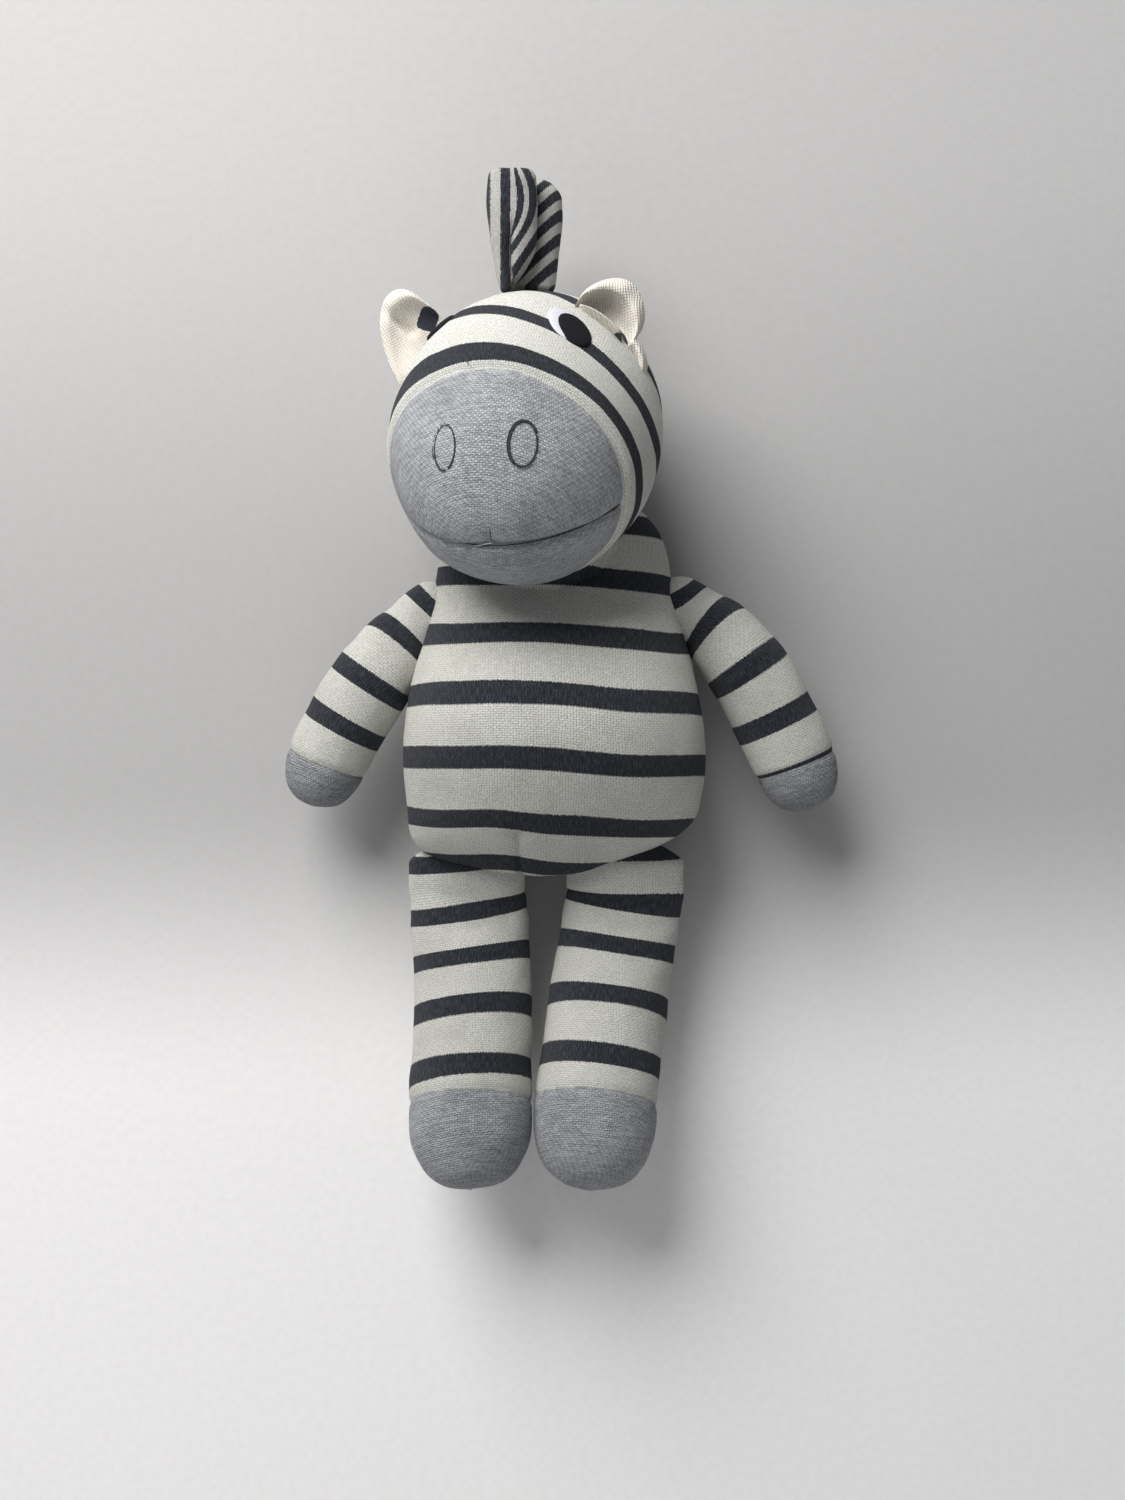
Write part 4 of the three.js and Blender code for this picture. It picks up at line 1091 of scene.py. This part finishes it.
INNER_FOLD = {
    "name": "right_ear_inner_fold", "nodes": ("right_ear_front",),
    "body": "right_ear", "root": (24.5, 143.4, 81.9), "way": (0.78, 0.62, 0),
    "base": [(578, 310), (588, 318), (600, 329), (611, 343), (620, 356)],
    "base_heights": [80, 80, 80, 79, 78],
    "rim": [(580, 304), (589.5, 307), (600, 312.5), (611, 321), (619.5, 331), (624, 342)],
    "rim_heights": [83, 84, 85, 85, 84, 81],
    "pocket": (0.2, 0.5, 0.5, 0.5, 0.2), "roll": (1.0, 2.0, 2.4, 2.2, 1.0),
    "back": (1, 1, 1, 1), "rib_way": (-0.5, 0.86), "patch": ((617.0, 339.5), (2.0, 2.2), 0),
}


def build_ear(ear):
    """An ear from its root to its outline: a hollow sinks between them, and the outline is a soft roll."""
    rows, cols = 64, 150
    base, rim = (evenly_through(at_pixels(ear[edge], ear[edge + "_heights"]), cols)
                 for edge in ("base", "rim"))
    pocket, roll, back = (values_through(ear[part], cols) for part in ("pocket", "roll", "back"))
    t = (1 - (1 - np.linspace(0, 1, rows)) ** 1.7)[:, None]
    flat = base + (rim - base) * t[..., None]
    plan, level = flat[..., :2], flat[..., 2].mean()
    closing = np.sqrt(1 - np.clip((t - ROLL_PLACE) / (1 - ROLL_PLACE), 0, 1) ** 2)
    hollow = pocket * np.sin(math.pi * np.clip(t / HOLLOW_END, 0, 1)) ** 1.2
    if "crease" in ear:
        ends, shape = ear["crease"]
        along, away = beside(plan, *at_pixels(ends, level)[:, :2])
        hollow = hollow + valley(away, shape) * np.minimum(1, 0.45 + along * 1.4)
    front = (EAR_FRONT - hollow + valley(t - ROLL_PLACE, (ROLL_WIDTH, roll))) * closing
    behind = -(EAR_BACK + np.maximum(hollow - 0.2, 0) * 0.9 + back * np.sin(math.pi * t)) * closing
    place = np.linspace(0, 1, cols)
    side = np.minimum(1, np.minimum(place, 1 - place) * EAR_ENDS) ** 0.5
    wrinkle = lumps(flat, *EAR_WRINKLES, len(ear["name"])) * closing
    sheets = [flat + ((height + wrinkle) * side)[..., None] * [0, 0, 1.0] for height in (front, behind)]
    ribs = unit(ear["rib_way"])
    spot, (half_long, half_short), turn = ear["patch"]
    d = plan - at_pixels(spot, level)[0, :2]
    c, s = math.cos(math.radians(turn)), math.sin(math.radians(turn))
    x, y = d[..., 0] * c + d[..., 1] * s, d[..., 1] * c - d[..., 0] * s
    dark = np.exp(-((x / half_long) ** 4) - (y / half_short) ** 4)
    obj = shell_mesh(ear["name"], *sheets, plan @ [ribs[1], -ribs[0]], plan @ ribs, dark)
    dress(obj, RIB, None, ear["nodes"])
    bend_at_root(obj, ear["root"])


# Mane

MANE_ROOT = (-10.0, 164.0, 47.0)
MANE_ROUNDNESS = 0.75
MANE_LUMPS = (9.0, 0.5)
# The crease down the front lobe: its places in the picture, its valleys, and where it starts
FOLD_Y = (205, 228.6, 245.7, 262.9, 277.1, 285.7)
FOLD_X = (514.5, 512.1, 509.6, 510.3, 512.6, 513.1)
FOLD_VALLEYS = ((1.8, 1.5), (5.0, 1.2))
FOLD_START = (205, 245)
# Dark stripes on the front lobe: places across it in the picture, and their counts
MANE_X = (485.0, 506.7, 521.4, 532.5, 551.0, 568.0, 653.0)
MANE_COUNTS = (-1, 0, 1, 2, 3, 4, 9)
# Below this place the stripes right of the crease start to lean: in a curve over the reach, then evenly
LEAN_START = 198.6
LEAN_REACH = 36.8
LEAN_CURVE = 0.0091
LEAN_SLOPE = 0.67
# Between these places down the picture the change from upright to leaning stripes narrows to the crease
CHANGE_Y = (212, 234)
CHANGE_REACH = (5.0, 0.5)
# The rear lobe's stripes: slope, distance and first count
REAR_SLOPE = 0.95
REAR_PITCH = 8.9
REAR_START = 0.1


def fold(y):
    """The crease's place across the picture, at a place down it."""
    return np.interp(y, FOLD_Y, FOLD_X)


def front_phase(grid):
    """Stripes that run up the left of the lobe, and lean over to its right below the bend."""
    x, y = pixels_of(grid)
    below = y - LEAN_START
    lean = LEAN_CURVE * np.minimum(below, LEAN_REACH) ** 2 + LEAN_SLOPE * np.maximum(below - LEAN_REACH, 0)
    reach = np.interp(y, CHANGE_Y, CHANGE_REACH)
    return np.interp(x + lean * eased(x, fold(y) - reach, fold(y) + reach), MANE_X, MANE_COUNTS)


def rear_phase(grid):
    """Slanted stripes."""
    return (grid[..., 1] - REAR_SLOPE * grid[..., 0]) / REAR_PITCH + REAR_START


# Each lobe: its left and right edges in the picture from root to top, its heights, half its thickness,
# its stripes, its node and whether it has the crease
MANE_LOBES = {
    "mane_front_fold": (
        [(502, 292), (499.5, 286), (495.5, 270), (491.5, 248), (488.8, 225), (487.2, 203), (487.6, 184),
         (489.5, 174), (496, 168)],
        [(512, 292), (515, 285), (525.5, 270), (534, 253), (537.4, 234), (537, 211), (536.8, 190), (536, 177),
         (529, 168)],
        (60, 59, 58, 58, 58, 57.5, 57, 57), (4, 5, 6.5, 7.5, 8, 7.5, 6.5, 4), front_phase,
        "mane_front_lobe", True),
    "mane_rear_fold": (
        [(505, 292), (508, 286), (514, 268), (519, 248), (523, 226), (526, 205), (528, 190), (534, 176)],
        [(552, 292), (555.5, 283), (558.5, 266), (560.5, 246), (561.8, 224), (561.8, 206), (560.5, 195),
         (551, 183)],
        (46, 45, 44, 43, 43, 43, 43, 43), (8, 9, 10, 10.5, 10, 9, 7.5, 4), rear_phase,
        "mane_rear_lobe", False),
}


def build_lobe(name, left, right, heights, thickness, phase_of, node, creased):
    """A soft lobe of the mane, from its edges as the picture shows them."""
    rows, around = 150, 220
    where = np.linspace(0, 1, rows)
    heights, thick = values_through(heights, rows), values_through(thickness, rows)[:, None]
    a, b = (at_pixels(curve_through(edge, rows), heights) for edge in (left, right))
    ends = np.sqrt(np.clip(np.minimum(where / 0.03, (1 - where) / 0.05), 0, 1))[:, None]
    side, rise = (filled_out(wave(turns(around)), MANE_ROUNDNESS) for wave in (np.cos, np.sin))
    middle, half = (a + b) / 2, (b - a) / 2
    grid = middle[:, None, :] + half[:, None, :] * (side * ends)[..., None]
    grid[..., 2] += thick * rise * ends
    normal = surface_normals(grid)
    bump = lumps(grid, *MANE_LUMPS, len(name))
    if creased:
        x, y = pixels_of(grid)
        bump -= eased(y, *FOLD_START) * (rise > 0) * valley(x - fold(y), *FOLD_VALLEYS)
    bump[[0, -1]] = 0
    grid = grid + normal * bump[..., None]
    run = np.repeat(lengths(middle)[:, None], around, axis=1)
    obj = tube_mesh(name, grid, panels(grid, (0, around // 2)), run, phase_of(grid))
    dress(obj, FINE, None, (node,))
    bend_at_root(obj, MANE_ROOT)


# What stays of the CAD model

def dress_seams():
    material, slot = THREAD
    for name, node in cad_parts.items():
        if name.endswith("_seam"):
            node.data.materials.clear()
            node.data.materials.append(material)


# Stage, in metres

FLOOR_HALF = 6.0
# Painted light and shade on the paper: it is painted lighter towards the picture's lower edge and its upper
# one, and darker to the right. For each change, where it starts and ends along Y or X, and its amount
PAPER_TONE = 0.475
NEAR_PAINTED_LIGHT = (0.02, 0.16, 0.44)
FAR_PAINTED_LIGHT = (0.02, 0.26, 0.105)
RIGHT_PAINTED_SHADE = (-0.22, 0.22, -0.05)
SKY = (0.95, 0.97, 1.0, 1)
SKY_POWER = 0.20
LAMP_COLOUR = (1.0, 0.985, 0.965)
LAMP_AIM = Vector((0, 0, 0.03))
# Place, size and power
LAMPS = {"key": ((-0.64, 1.12, 0.96), 1.2, 34.5), "fill": ((-0.3, -1.25, 0.75), 1.4, 5.2)}


def build_floor():
    """A sheet of pale paper with painted light and shade that change slowly across the picture."""
    mesh = bpy.data.meshes.new("floor")
    corners = [(x * FLOOR_HALF, y * FLOOR_HALF, 0) for x, y in ((-1, -1), (1, -1), (1, 1), (-1, 1))]
    mesh.from_pydata(corners, [], [(0, 1, 2, 3)])
    s = Shader("pale_paper", 0.9, 0.0)
    fibres = s.noise(s.place(), 300.0, 4.0)
    x, y = s.split(s.place())
    tone = PAPER_TONE
    # Painted light towards the lower and upper edges, and painted shade to the right.
    for place, (start, end, amount) in ((s.times(y, -1.0), NEAR_PAINTED_LIGHT), (y, FAR_PAINTED_LIGHT), (x, RIGHT_PAINTED_SHADE)):
        tone = s.line(s.step(place, start, end), amount, tone)
    paper = s.mix(s.step(fibres, 0.3, 0.7), PAPER_DARK, PAPER_LIT)
    mesh.materials.append(s.finish(s.scaled(paper, tone, tone, tone), fibres, 0.05))
    added("floor", mesh)


def build_stage():
    scene = bpy.context.scene
    build_floor()
    scene.world = bpy.data.worlds.new("studio")
    scene.world.use_nodes = True
    sky = scene.world.node_tree.nodes["Background"]
    sky.inputs[0].default_value = SKY
    sky.inputs[1].default_value = SKY_POWER
    for name, (place, size, power) in LAMPS.items():
        lamp = bpy.data.lights.new(name, "AREA")
        lamp.shape = "DISK"
        lamp.size = size
        lamp.energy = power
        lamp.color = LAMP_COLOUR
        obj = added(name, lamp)
        obj.location = place
        obj.rotation_euler = (LAMP_AIM - Vector(place)).to_track_quat("-Z", "Y").to_euler()
    camera = bpy.data.cameras.new("camera")
    camera.lens = LENS
    camera.sensor_width = SENSOR
    scene.camera = added("camera", camera)
    scene.camera.location = tuple(EYE * MM)
    scene.view_settings.view_transform = "Standard"


build_head()
build_eyes()
build_nostrils()
build_mouth()
build_body()
build_limbs()
for ear in (LEFT_EAR, RIGHT_EAR, INNER_FOLD):
    build_ear(ear)
for name, lobe in MANE_LOBES.items():
    build_lobe(name, *lobe)
dress_seams()
build_stage()
